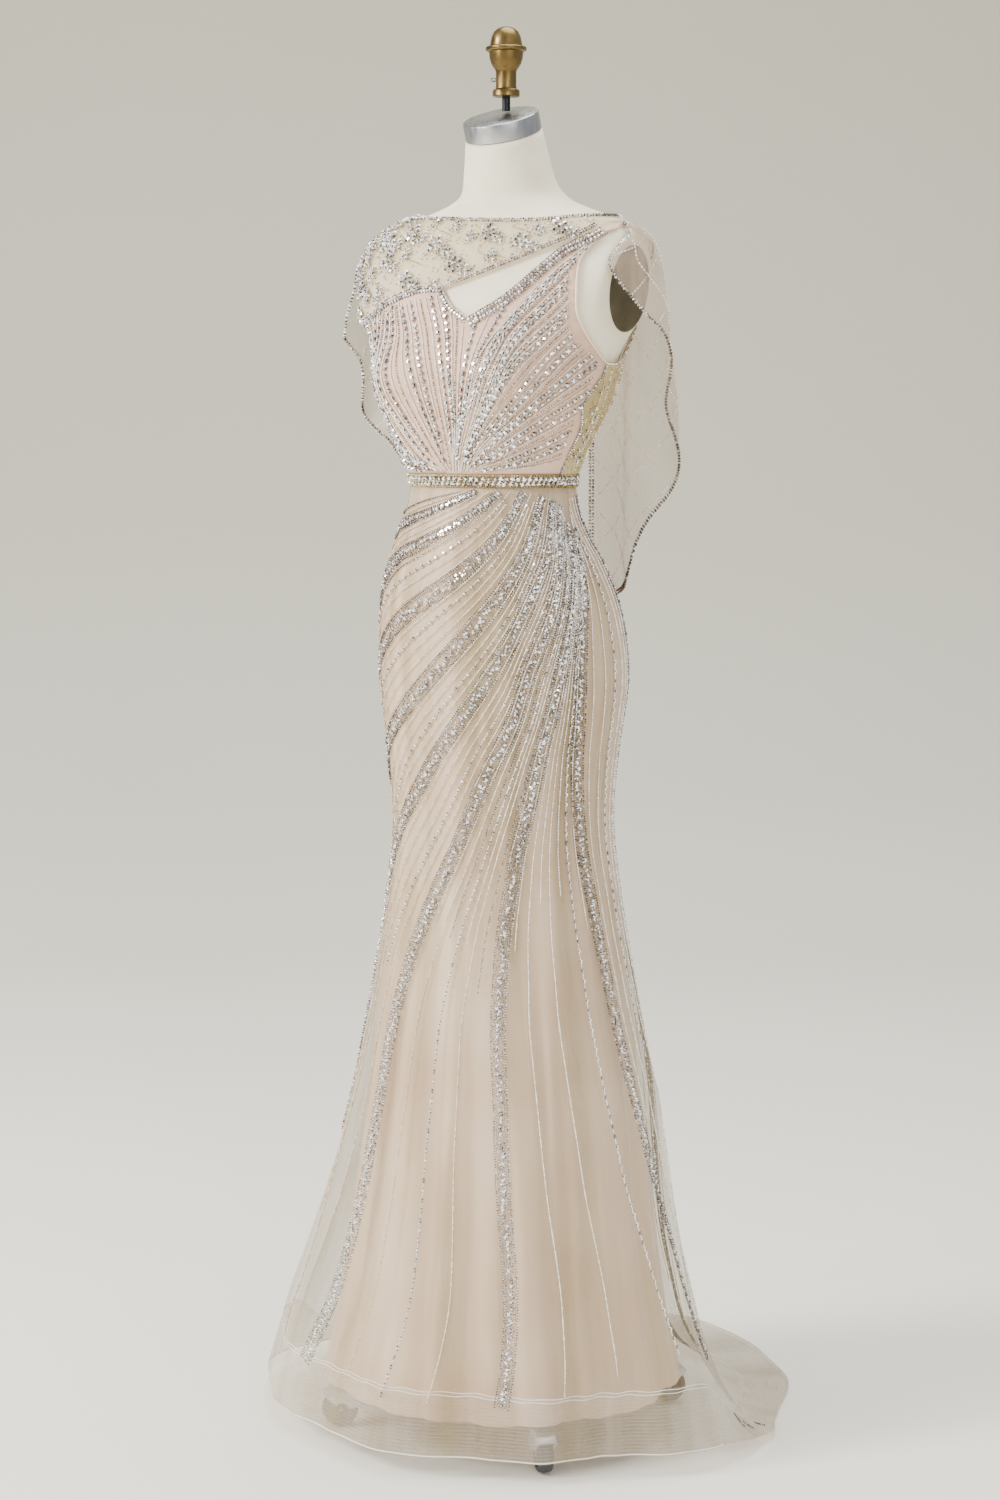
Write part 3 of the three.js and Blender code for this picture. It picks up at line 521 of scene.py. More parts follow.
class Shared:
    """Shader groups that several finishes use, each made once."""

    made: dict[str, bpy.types.NodeTree] = {}

    @classmethod
    def group(cls, name: str, ins: dict, outs: dict, fill: Callable) -> bpy.types.NodeTree:
        """Makes a group the first time it is asked for.

        Args:
            name: the group's name.
            ins: input names and default values.
            outs: output names and socket kinds.
            fill: builds the inside from a Graph and the input sockets.

        Returns:
            The group.
        """
        if name not in cls.made:
            tree = bpy.data.node_groups.new(name, "ShaderNodeTree")
            graph = Graph(tree)
            for key, value in ins.items():
                kind = "NodeSocketColor" if isinstance(value, tuple) else "NodeSocketFloat"
                socket = tree.interface.new_socket(key, in_out="INPUT", socket_type=kind)
                socket.default_value = value
            for key, kind in outs.items():
                tree.interface.new_socket(key, in_out="OUTPUT", socket_type=kind)
            source = graph.add("NodeGroupInput").outputs
            graph.add("NodeGroupOutput", **fill(graph, source))
            cls.made[name] = tree
        return cls.made[name]

    @classmethod
    def drift(cls) -> bpy.types.NodeTree:
        """Two colours mixed by soft cloudy patches.

        Returns:
            The group.
        """

        def fill(g: Graph, i: bpy.types.NodeInputs) -> dict:
            """Noise on Object coordinates drives the mix.

            Args:
                g: the group's graph.
                i: its inputs.

            Returns:
                Its outputs.
            """
            place = g.add("ShaderNodeTexCoord").outputs["Object"]
            noise = g.add("ShaderNodeTexNoise", Vector=place, Scale=i["Scale"], Detail=4.0)
            soft = g.add("ShaderNodeMapRange", i0=noise.outputs["Fac"], i1=0.32, i2=0.68)
            mix = g.add("ShaderNodeMix", {"data_type": "RGBA"}, i0=soft.outputs[0])
            g.tree.links.new(i["First"], mix.inputs[6])
            g.tree.links.new(i["Second"], mix.inputs[7])
            return {"Color": mix.outputs[2], "Mask": soft.outputs[0]}

        ins = {"First": (1, 1, 1, 1), "Second": (1, 1, 1, 1), "Scale": 12.0}
        return cls.group("colour_drift", ins, {"Color": "NodeSocketColor", "Mask": "NodeSocketFloat"}, fill)

    @classmethod
    def weave(cls) -> bpy.types.NodeTree:
        """Crossed threads on the piece's own UV map, as a height.

        Returns:
            The group.
        """

        def fill(g: Graph, i: bpy.types.NodeInputs) -> dict:
            """Two waves at right angles are multiplied.

            Args:
                g: the group's graph.
                i: its inputs.

            Returns:
                Its outputs.
            """
            place = g.add("ShaderNodeUVMap").outputs[0]
            waves = []
            for way in ("X", "Y"):
                sets = {"wave_type": "BANDS", "bands_direction": way}
                node = g.add("ShaderNodeTexWave", sets, Vector=place, Scale=i["Threads"])
                waves.append(node.outputs["Fac"])
            product = g.maths("MULTIPLY", waves[0], waves[1])
            height = g.maths("MULTIPLY", product, i["Depth"])
            return {"Height": height, "Mask": product}

        outs = {"Height": "NodeSocketFloat", "Mask": "NodeSocketFloat"}
        return cls.group("thread_weave", {"Threads": 60.0, "Depth": 1.0}, outs, fill)

    @classmethod
    def fold_shade_streaks(cls) -> bpy.types.NodeTree:
        """Long soft bands that run down the cloth: painted fold shade in its colour, and more cover where
        sheer cloth gathers.

        Returns:
            The group.
        """

        def fill(g: Graph, i: bpy.types.NodeInputs) -> dict:
            """Noise stretched along the fall of the cloth.

            Args:
                g: the group's graph.
                i: its inputs.

            Returns:
                Its outputs.
            """
            place = g.add("ShaderNodeUVMap").outputs[0]
            shape = g.add("ShaderNodeMapping", Vector=place, Scale=(1.0, 0.06, 1.0))
            noise = g.add("ShaderNodeTexNoise", Vector=shape.outputs[0], Scale=i["Scale"], Detail=3.0)
            soft = g.add("ShaderNodeMapRange", i0=noise.outputs["Fac"], i1=0.3, i2=0.7)
            return {"Mask": soft.outputs[0]}

        return cls.group("fall_streaks", {"Scale": 30.0}, {"Mask": "NodeSocketFloat"}, fill)


def shader(name: str) -> tuple[bpy.types.Material, Graph, bpy.types.Node]:
    """New material with a Principled shader joined to its output.

    Args:
        name: the material's name.

    Returns:
        The material, its graph and its Principled shader.
    """
    material = bpy.data.materials.new(name)
    material.use_nodes = True
    graph = Graph(material.node_tree)
    skin = graph.add("ShaderNodeBsdfPrincipled")
    graph.add("ShaderNodeOutputMaterial", Surface=skin.outputs[0])
    return material, graph, skin


@dataclass(frozen=True)
class ClothFinish:
    """Woven or net cloth, with painted fold shade in long soft bands down its fall.

    Attributes:
        name: the material's name.
        first: main colour.
        second: colour of its soft patches.
        roughness: how dull it is.
        sheen: strength of the soft edge sheen.
        threads: scale of the weave on the UV map.
        bump: strength of the weave in the normal.
        alpha: least and most cover, or None where the cloth is opaque.
        ribs: scale of lines across the cloth, or 0.
    """

    name: str
    first: str
    second: str
    roughness: float = 0.7
    sheen: float = 0.3
    threads: float = 160.0
    bump: float = 0.25
    alpha: tuple[float, float] | None = None
    ribs: float = 0.0

    def build(self) -> bpy.types.Material:
        """Makes the material.

        Returns:
            The material.
        """
        material, g, skin = shader(self.name)
        drift = g.add(
            "ShaderNodeGroup", {"node_tree": Shared.drift()}, First=rgb(self.first),
            Second=rgb(self.second), Scale=9.0
        )
        weave = g.add("ShaderNodeGroup", {"node_tree": Shared.weave()}, Threads=self.threads, Depth=1.0)
        fold_shade_and_cover = g.add("ShaderNodeGroup", {"node_tree": Shared.fold_shade_streaks()}, Scale=26.0)
        link = g.tree.links.new
        shade = g.add("ShaderNodeMix", {"data_type": "RGBA", "blend_type": "MULTIPLY"}, i0=0.5)
        # Painted fold shade: soft bands down the cloth darken its colour, standing in for the shade of folds.
        tone = g.ramp(fold_shade_and_cover.outputs["Mask"], ((0, "#e6e1dc"), (1, "#ffffff")))
        link(drift.outputs["Color"], shade.inputs[6])
        link(tone, shade.inputs[7])
        link(shade.outputs[2], skin.inputs["Base Color"])
        rough = g.add(
            "ShaderNodeMapRange", i0=drift.outputs["Mask"], i3=self.roughness - 0.06,
            i4=self.roughness + 0.06
        )
        link(rough.outputs[0], skin.inputs["Roughness"])
        skin.inputs["Sheen Weight"].default_value = self.sheen
        skin.inputs["Sheen Roughness"].default_value = 0.4
        height = weave.outputs["Height"]
        if self.ribs:
            place = g.add("ShaderNodeUVMap").outputs[0]
            sets = {"wave_type": "BANDS", "bands_direction": "Y"}
            ribs = g.add("ShaderNodeTexWave", sets, Vector=place, Scale=self.ribs).outputs["Fac"]
            height = g.maths("ADD", height, ribs)
        bump = g.add("ShaderNodeBump", Height=height, Strength=self.bump, Distance=0.0004)
        link(bump.outputs[0], skin.inputs["Normal"])
        if self.alpha:
            low, high = self.alpha
            gather = g.maths("POWER", fold_shade_and_cover.outputs["Mask"], 2.0)
            cover = g.add("ShaderNodeMapRange", i0=gather, i3=low, i4=high)
            last = cover.outputs[0]
            if self.ribs:
                last = g.maths("MULTIPLY_ADD", ribs, 0.07, last)
            net = g.maths("MULTIPLY_ADD", weave.outputs["Mask"], 0.1, last)
            link(net, skin.inputs["Alpha"])
        return material


@dataclass(frozen=True)
class StoneFinish:
    """Crystals, beads and pearls, whose colour changes from one to the next, with painted highlights and
    painted shade on their faces.

    Attributes:
        name: the material's name.
        stops: places and colours of the ramp over the stones, from painted shade to painted highlight.
        metallic: how metallic the stones are.
        roughness: how dull they are.
        painted_glow: strength of the painted glow: the brightest facets emit light though they are no lamp,
            standing in for their highlights.
    """

    name: str
    stops: tuple[tuple[float, str], ...]
    metallic: float = 0.8
    roughness: float = 0.12
    painted_glow: float = 0.5

    def build(self) -> bpy.types.Material:
        """Makes the material.

        Returns:
            The material.
        """
        material, g, skin = shader(self.name)
        tone = g.add("ShaderNodeAttribute", {"attribute_name": "tone"}).outputs["Fac"]
        facet = g.add("ShaderNodeAttribute", {"attribute_name": "facet"}).outputs["Fac"]
        # Painted light: each face's painted highlight or shade, mixed with the stone's own random tone,
        # drives the colour.
        light = g.maths("MULTIPLY_ADD", facet, 0.62, g.maths("MULTIPLY", tone, 0.38))
        g.tree.links.new(g.ramp(light, self.stops), skin.inputs["Base Color"])
        rough = g.add("ShaderNodeMapRange", i0=tone, i3=self.roughness, i4=self.roughness + 0.12)
        g.tree.links.new(rough.outputs[0], skin.inputs["Roughness"])
        # Painted glow: the brightest faces emit light though they are no lamp, standing in for glints.
        g.tree.links.new(g.ramp(light, ((0.6, "#000000"), (0.82, "#ffffff"))), skin.inputs["Emission Color"])
        skin.inputs["Emission Strength"].default_value = self.painted_glow
        skin.inputs["Metallic"].default_value = self.metallic
        return material


@dataclass(frozen=True)
class HardFinish:
    """Metal, plastic, rubber or covered board.

    Attributes:
        name: the material's name.
        first: main colour.
        second: colour of its patches.
        metallic: how metallic it is.
        roughness: least and most dullness.
        grain: scale of the fine surface.
        bump: strength of the fine surface.
        stretch: how much longer the grain is upright than across.
    """

    name: str
    first: str
    second: str
    metallic: float = 0.0
    roughness: tuple[float, float] = (0.3, 0.5)
    grain: float = 300.0
    bump: float = 0.1
    stretch: float = 1.0

    def build(self) -> bpy.types.Material:
        """Makes the material.

        Returns:
            The material.
        """
        material, g, skin = shader(self.name)
        drift = g.add(
            "ShaderNodeGroup", {"node_tree": Shared.drift()}, First=rgb(self.first),
            Second=rgb(self.second), Scale=24.0
        )
        link = g.tree.links.new
        link(drift.outputs["Color"], skin.inputs["Base Color"])
        place = g.add("ShaderNodeTexCoord").outputs["Object"]
        shape = g.add("ShaderNodeMapping", Vector=place, Scale=(1.0, 1.0, 1 / self.stretch))
        noise = g.add("ShaderNodeTexNoise", Vector=shape.outputs[0], Scale=self.grain, Detail=5.0)
        rough = g.add(
            "ShaderNodeMapRange", i0=noise.outputs["Fac"], i1=0.3, i2=0.7, i3=self.roughness[0],
            i4=self.roughness[1]
        )
        link(rough.outputs[0], skin.inputs["Roughness"])
        bump = g.add("ShaderNodeBump", Height=noise.outputs["Fac"], Strength=self.bump, Distance=0.0005)
        link(bump.outputs[0], skin.inputs["Normal"])
        skin.inputs["Metallic"].default_value = self.metallic
        return material


@dataclass(frozen=True)
class PaintedShadeBackdrop:
    """Paper of the studio, a little darker towards the top: painted shade, brightest at the floor.

    Attributes:
        name: the material's name.
        stops: places over its height and colours.
        height: height in metres where the last colour is reached.
    """

    name: str
    stops: tuple[tuple[float, str], ...]
    height: float = 2.4

    def build(self) -> bpy.types.Material:
        """Makes the material.

        Returns:
            The material.
        """
        material, g, skin = shader(self.name)
        place = g.add("ShaderNodeTexCoord").outputs["Object"]
        level = g.add("ShaderNodeSeparateXYZ", Vector=place).outputs["Z"]
        # Painted shade: the colour darkens with height up the wall.
        rise = g.add("ShaderNodeMapRange", i0=level, i1=0.0, i2=self.height)
        g.tree.links.new(g.ramp(rise.outputs[0], self.stops), skin.inputs["Base Color"])
        noise = g.add("ShaderNodeTexNoise", Vector=place, Scale=3.0)
        rough = g.add("ShaderNodeMapRange", i0=noise.outputs["Fac"], i3=0.6, i4=0.8)
        g.tree.links.new(rough.outputs[0], skin.inputs["Roughness"])
        return material


FINISHES = {
    "canvas": HardFinish("form_canvas", "#f7efd6", "#efe5c8", 0.0, (0.75, 0.95), 900.0, 0.25),
    "blush": ClothFinish("blush_lining", "#ffe6cc", "#f7d8ba", 0.5, 0.35, 220.0, 0.2),
    "nude": ClothFinish("beaded_tulle", "#e6c2a9", "#d9b399", 0.6, 0.4, 200.0, 0.25),
    "band": ClothFinish("waistband_cloth", "#b49b6c", "#9a8153", 0.5, 0.3, 200.0, 0.3),
    "sheer": ClothFinish("sheer_tulle", "#ecdcbc", "#e0cda6", 0.7, 0.3, 200.0, 0.2, (0.52, 0.7)),
    "panel": ClothFinish("sheer_panel", "#d0bc88", "#b8a26c", 0.6, 0.4, 200.0, 0.2, (0.8, 0.92)),
    "cape": ClothFinish("cape_tulle", "#dcc4ac", "#ccb397", 0.7, 0.3, 200.0, 0.2, (0.3, 0.62)),
    "tulle": ClothFinish("skirt_tulle", "#a3936a", "#927f57", 0.7, 0.35, 200.0, 0.2, (0.2, 0.62)),
    "braid": ClothFinish("horsehair_braid", "#faf0e8", "#f3e6dc", 0.45, 0.3, 160.0, 0.3, (0.2, 0.34), 70.0),
    "thread": ClothFinish("satin_thread", "#f4efe8", "#e9e2d8", 0.4, 0.5, 300.0, 0.2),
    "tape": ClothFinish("zip_tape", "#d9c8b6", "#cdbba8", 0.7, 0.2, 260.0, 0.4),
    # Stone ramps run from painted shade on the dark faces to painted highlights on the bright ones; the last
    # number is the painted glow.
    "crystal": StoneFinish(
        "crystal", ((0, "#2a2522"), (0.4, "#6d6561"), (0.64, "#d6d2cf"), (1, "#ffffff")), 0.5, 0.1, 0.75
    ),
    "grey_bead": StoneFinish(
        "grey_bead", ((0, "#2c241e"), (0.4, "#6e6257"), (0.62, "#d2c9be"), (1, "#ffffff")), 0.4, 0.2, 0.8
    ),
    "white_bead": StoneFinish(
        "white_bead", ((0, "#86693f"), (0.42, "#d2bc97"), (0.7, "#efe5d4"), (1, "#fffdf8")), 0.0, 0.2, 0.16
    ),
    "gold_bead": StoneFinish(
        "gold_bead", ((0, "#5c4718"), (0.45, "#b3954a"), (1, "#f3e3b0")), 0.5, 0.25, 0.15
    ),
    "steel": HardFinish("steel", "#b4b5b7", "#9c9da0", 1.0, (0.22, 0.42), 120.0, 0.08, 14.0),
    "brass": HardFinish("aged_brass", "#806a40", "#5a4a2a", 1.0, (0.2, 0.5), 60.0, 0.25),
    "plate": HardFinish("armhole_plate", "#5d563f", "#4a4431", 0.5, (0.35, 0.6), 40.0, 0.2),
    "black": HardFinish("black_metal", "#2a2a2d", "#1c1c1f", 0.9, (0.3, 0.5), 120.0, 0.1),
    "hood": HardFinish("caster_hood", "#e2e4e6", "#ced1d4", 0.6, (0.25, 0.45), 160.0, 0.06),
    "rubber": HardFinish("wheel_rubber", "#3c3e42", "#2c2e31", 0.0, (0.5, 0.75), 200.0, 0.2),
    # Painted shade on the studio sweep: near white on the floor, darker up the wall.
    "floor": PaintedShadeBackdrop(
        "studio_floor", ((0, "#fdf9ec"), (0.1, "#ece8d8"), (0.4, "#dcd9c6"), (1, "#d0cdb9"))
    ),
}
_materials: dict[str, bpy.types.Material] = {}


def finish(name: str) -> bpy.types.Material:
    """The material of a named finish, made the first time.

    Args:
        name: a key of FINISHES.

    Returns:
        The material.
    """
    if name not in _materials:
        _materials[name] = FINISHES[name].build()
    return _materials[name]


def mesh_object(name: str, points: Array, faces: Sequence, uv: Array | None = None) -> bpy.types.Object:
    """Object made from points and faces.

    Args:
        name: the piece's name.
        points: places in metres.
        faces: point numbers of each face.
        uv: a place on the cloth for each point.

    Returns:
        The object, smooth shaded.
    """
    mesh = bpy.data.meshes.new(name)
    mesh.from_pydata(np.asarray(points, float).tolist(), [], [list(map(int, f)) for f in faces])
    mesh.polygons.foreach_set("use_smooth", [True] * len(mesh.polygons))
    if uv is not None:
        index = np.empty(len(mesh.loops), int)
        mesh.loops.foreach_get("vertex_index", index)
        layer = mesh.uv_layers.new(name="flat")
        layer.data.foreach_set("uv", np.asarray(uv, float)[index].ravel())
    mesh.validate()
    made = bpy.data.objects.new(name, mesh)
    bpy.context.scene.collection.objects.link(made)
    return made


def grid_faces(rows: int, columns: int, wrap: bool = False) -> list[tuple[int, int, int, int]]:
    """Faces of a grid whose rows rise and whose columns turn to the wearer's left.

    Args:
        rows: how many rows of points.
        columns: how many points in a row.
        wrap: whether the rows close.

    Returns:
        Point numbers of each face.
    """
    faces = []
    for j in range(rows - 1):
        for i in range(columns if wrap else columns - 1):
            n = (i + 1) % columns
            a, b = j * columns, (j + 1) * columns
            faces.append((a + i, a + n, b + n, b + i))
    return faces


def flat_map(points: Array) -> Array:
    """Place of each grid point on the flat cloth, in metres.

    Args:
        points: grid of points in metres.

    Returns:
        Grid of places.
    """
    across = np.linalg.norm(np.diff(points, axis=1), axis=2).mean(0)
    down = np.linalg.norm(np.diff(points, axis=0), axis=2).mean(1)
    u = np.concatenate([[0], np.cumsum(across)])
    v = np.concatenate([[0], np.cumsum(down)])
    return np.stack(np.meshgrid(u, v), -1)


def dress(piece: bpy.types.Object, look: str, body_name: str = "root") -> bpy.types.Object:
    """Gives a piece its finish and body.

    Args:
        piece: the piece.
        look: a key of FINISHES.
        body_name: the body that it rides on.

    Returns:
        The piece.
    """
    piece.data.materials.clear()
    piece.data.materials.append(finish(look))
    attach(piece, body_name)
    return piece


def solidify(piece: bpy.types.Object, wall: float, offset: float = -1.0) -> None:
    """Gives a sheet its wall, in millimetres.

    Args:
        piece: the sheet.
        wall: thickness in millimetres.
        offset: -1 puts the wall inside the sheet.
    """
    thick = piece.modifiers.new("wall", "SOLIDIFY")
    thick.thickness = wall * MM
    thick.offset = offset
    apply_modifiers(piece)


def apply_modifiers(piece: bpy.types.Object) -> None:
    """Turns a piece with modifiers into its plain finished mesh.

    Args:
        piece: the piece.
    """
    graph = bpy.context.evaluated_depsgraph_get()
    mesh = bpy.data.meshes.new_from_object(piece.evaluated_get(graph))
    old = piece.data
    piece.modifiers.clear()
    piece.data = mesh
    mesh.name = piece.name
    bpy.data.meshes.remove(old)


def sheet_size(points: Array) -> tuple[tuple[float, float], float]:
    """Flat width, length and area of a cloth grid, from its own lengths.

    Args:
        points: grid of points in metres.

    Returns:
        Width and length, and area.
    """
    across = np.linalg.norm(np.diff(points, axis=1), axis=2)
    down = np.linalg.norm(np.diff(points, axis=0), axis=2)
    width, length = across.sum(1).max(), down.sum(0).max()
    cells = np.cross(points[1:, 1:] - points[:-1, :-1], points[1:, :-1] - points[:-1, 1:])
    return (float(width), float(length)), float(0.5 * np.linalg.norm(cells, axis=2).sum())


def curve_through(nodes: Sequence[tuple[float, float]], count: int = 160) -> Array:
    """Smooth path through (angle, level) places.

    Args:
        nodes: the places.
        count: how many points come back.

    Returns:
        Angles and levels along the path.
    """
    p = np.array(nodes, float)
    step = np.hypot(np.diff(p[:, 0]) * 2.4, np.diff(p[:, 1]))
    knots = np.concatenate([[0], np.cumsum(np.maximum(step, 1e-3))])
    at = np.linspace(0, knots[-1], count)
    table = np.column_stack([knots, p])
    return np.column_stack([read(table, at, 1), read(table, at, 2)])


@dataclass
class Beads:
    """Places of one kind of stone, and the stones set there.

    Attributes:
        points: places in metres.
        normals: outward directions.
        along: directions of the line that each stone lies on.
        sizes: lengths in millimetres.
    """

    points: list[Array] = field(default_factory=list)
    normals: list[Array] = field(default_factory=list)
    along: list[Array] = field(default_factory=list)
    sizes: list[Array] = field(default_factory=list)

    def line(
        self, surface: Surface, path: Array, spacing: float, size: float, out: float = STONE_OUT,
        shift: float | Callable = 0.0
    ) -> None:
        """Sets stones along a path.

        Args:
            surface: the cloth that carries them.
            path: places on the cloth.
            spacing: millimetres from stone to stone.
            size: length of a stone in millimetres.
            out: height of the stones over the cloth.
            shift: millimetres aside from the path, or its change along the run in millimetres.
        """
        p = surface(path[:, 0], path[:, 1], 0.0)
        run = np.concatenate([[0], np.cumsum(np.linalg.norm(np.diff(p, axis=0), axis=1))])
        if run[-1] < 2 * spacing * MM:
            return
        at = np.arange(spacing * MM / 2, run[-1], spacing * MM)
        aside = shift(at / MM) if callable(shift) else shift
        self.scatter(
            surface, np.interp(at, run, path[:, 0]), np.interp(at, run, path[:, 1]), size, out, aside, path
        )

    def scatter(
        self, surface: Surface, a: Array, b: Array, size: Array, out: float, shift: Array = 0.0,
        path: Array | None = None
    ) -> None:
        """Sets stones at places of the cloth.

        Args:
            surface: the cloth that carries them.
            a: first place value of each stone.
            b: second place value of each stone.
            size: lengths in millimetres.
            out: height over the cloth.
            shift: millimetres aside, across the run of the stones.
            path: the line that they follow, for its direction.
        """
        span = 0.004 if abs(np.max(np.abs(b))) <= 1.5 else 1.0
        p = surface(a, b, out)
        side = surface(a + span, b, out) - surface(a - span, b, out)
        rise = surface(a, b + span, out) - surface(a, b - span, out)
        normal = unit(np.cross(side, rise))
        outward = p - AXIS - [0, -0.02, 0]
        normal = normal * np.where((normal[:, :2] * outward[:, :2]).sum(1) < 0, -1, 1)[:, None]
        along = unit(np.gradient(p, axis=0)) if path is not None and len(p) > 1 else unit(side)
        p = p + unit(np.cross(normal, along)) * (np.broadcast_to(shift, len(p)) * MM)[:, None]
        self.points.append(p)
        self.normals.append(normal)
        self.along.append(along)
        self.sizes.append(np.broadcast_to(np.asarray(size, float), len(p)).copy())

    def build(
        self, name: str, stone: bpy.types.Object, look: str, seed: int, jitter: float = 0.15,
        twist: float = 0.0
    ) -> bpy.types.Object:
        """Sets the stones with the shared node tree.

        Args:
            name: the piece's name.
            stone: the stone that is repeated.
            look: its finish.
            seed: seed of its chances.
            jitter: share by which sizes differ.
            twist: most turn about the normal, in radians.

        Returns:
            The piece, one plain mesh.
        """
        p = np.concatenate(self.points)
        mesh = bpy.data.meshes.new(name)
        mesh.from_pydata(p.tolist(), [], [])
        for key, data, kind in (
            ("outward", self.normals, "FLOAT_VECTOR"), ("run", self.along, "FLOAT_VECTOR"),
            ("size", self.sizes, "FLOAT")
        ):
            values = np.concatenate(data).astype(np.float32).ravel()
            layer = mesh.attributes.new(key, kind, "POINT")
            layer.data.foreach_set("vector" if kind == "FLOAT_VECTOR" else "value", values)
        piece = bpy.data.objects.new(name, mesh)
        bpy.context.scene.collection.objects.link(piece)
        setter = piece.modifiers.new("stones", "NODES")
        setter.node_group = stone_tree()
        sockets = {
            s.name: s.identifier for s in setter.node_group.interface.items_tree if s.in_out == "INPUT"
        }
        for key, value in (
            ("Stone", stone), ("Jitter", jitter), ("Twist", twist), ("Seed", seed), ("Finish", finish(look))
        ):
            setter[sockets[key]] = value
        apply_modifiers(piece)
        piece.data.materials.clear()
        piece.data.materials.append(finish(look))
        piece.data.polygons.foreach_set("material_index", [0] * len(piece.data.polygons))
        for key in ("outward", "run", "size"):
            if key in piece.data.attributes:
                piece.data.attributes.remove(piece.data.attributes[key])
        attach(piece, "root")
        LOG.info("%s: %d stones, %d faces", name, len(p), len(piece.data.polygons))
        return piece


def stone_tree() -> bpy.types.NodeTree:
    """Node tree that sets a stone on every point, upright on the cloth and along its line.

    Returns:
        The tree, made the first time.
    """
    name = "set_stones"
    if name in bpy.data.node_groups:
        return bpy.data.node_groups[name]
    tree = bpy.data.node_groups.new(name, "GeometryNodeTree")
    tree.interface.new_socket("Geometry", in_out="OUTPUT", socket_type="NodeSocketGeometry")
    for key, kind in (
        ("Geometry", "Geometry"), ("Stone", "Object"), ("Jitter", "Float"), ("Twist", "Float"),
        ("Seed", "Int"), ("Finish", "Material")
    ):
        tree.interface.new_socket(key, in_out="INPUT", socket_type=f"NodeSocket{kind}")
    g = Graph(tree)
    i = g.add("NodeGroupInput").outputs
    stone = g.add("GeometryNodeObjectInfo", Object=i["Stone"]).outputs["Geometry"]
    reads = {}
    for key, kind in (("outward", "FLOAT_VECTOR"), ("run", "FLOAT_VECTOR"), ("size", "FLOAT")):
        reads[key] = g.add(
            "GeometryNodeInputNamedAttribute", {"data_type": kind}, Name=key
        ).outputs["Attribute"]
    sets = {"primary_axis": "Z", "secondary_axis": "X"}
    turn = g.add(
        "FunctionNodeAxesToRotation", sets, Primary_Axis=reads["outward"], Secondary_Axis=reads["run"]
    )
    low = g.maths("MULTIPLY", i["Twist"], -1.0)
    chance = g.add("FunctionNodeRandomValue", {"data_type": "FLOAT"}, Seed=i["Seed"])
    g.tree.links.new(low, chance.inputs[2])
    g.tree.links.new(i["Twist"], chance.inputs[3])
    angle = g.add("FunctionNodeAxisAngleToRotation", Axis=(0, 0, 1), Angle=chance.outputs[1])
    both = g.add(
        "FunctionNodeRotateRotation", {"rotation_space": "LOCAL"}, i0=turn.outputs[0], i1=angle.outputs[0]
    )
    grow = g.add("FunctionNodeRandomValue", {"data_type": "FLOAT"}, Seed=i["Seed"])
    g.tree.links.new(g.maths("SUBTRACT", 1.0, i["Jitter"]), grow.inputs[2])
    g.tree.links.new(g.maths("ADD", 1.0, i["Jitter"]), grow.inputs[3])
    scale = g.maths("MULTIPLY", reads["size"], grow.outputs[1])
    put = g.add(
        "GeometryNodeInstanceOnPoints", Points=i["Geometry"], Instance=stone, Rotation=both.outputs[0],
        Scale=scale
    )
    shade = g.add("FunctionNodeRandomValue", {"data_type": "FLOAT"}, Seed=g.maths("ADD", i["Seed"], 7.0))
    store = g.add(
        "GeometryNodeStoreNamedAttribute", {"data_type": "FLOAT", "domain": "INSTANCE"},
        Geometry=put.outputs[0], Name="tone"
    )
    g.tree.links.new(shade.outputs[1], store.inputs["Value"])
    real = g.add("GeometryNodeRealizeInstances", Geometry=store.outputs[0])
    last = g.add("GeometryNodeSetMaterial", Geometry=real.outputs[0], Material=i["Finish"])
    g.add("NodeGroupOutput", Geometry=last.outputs[0])
    return tree


# Painted light on the sides of cut stones: high values are painted highlights and reflections, low values
# painted shade.
PAINTED_FACET_LIGHT = (0.0, 0.9, 0.15, 0.6, 0.05, 0.8, 0.2, 0.45)


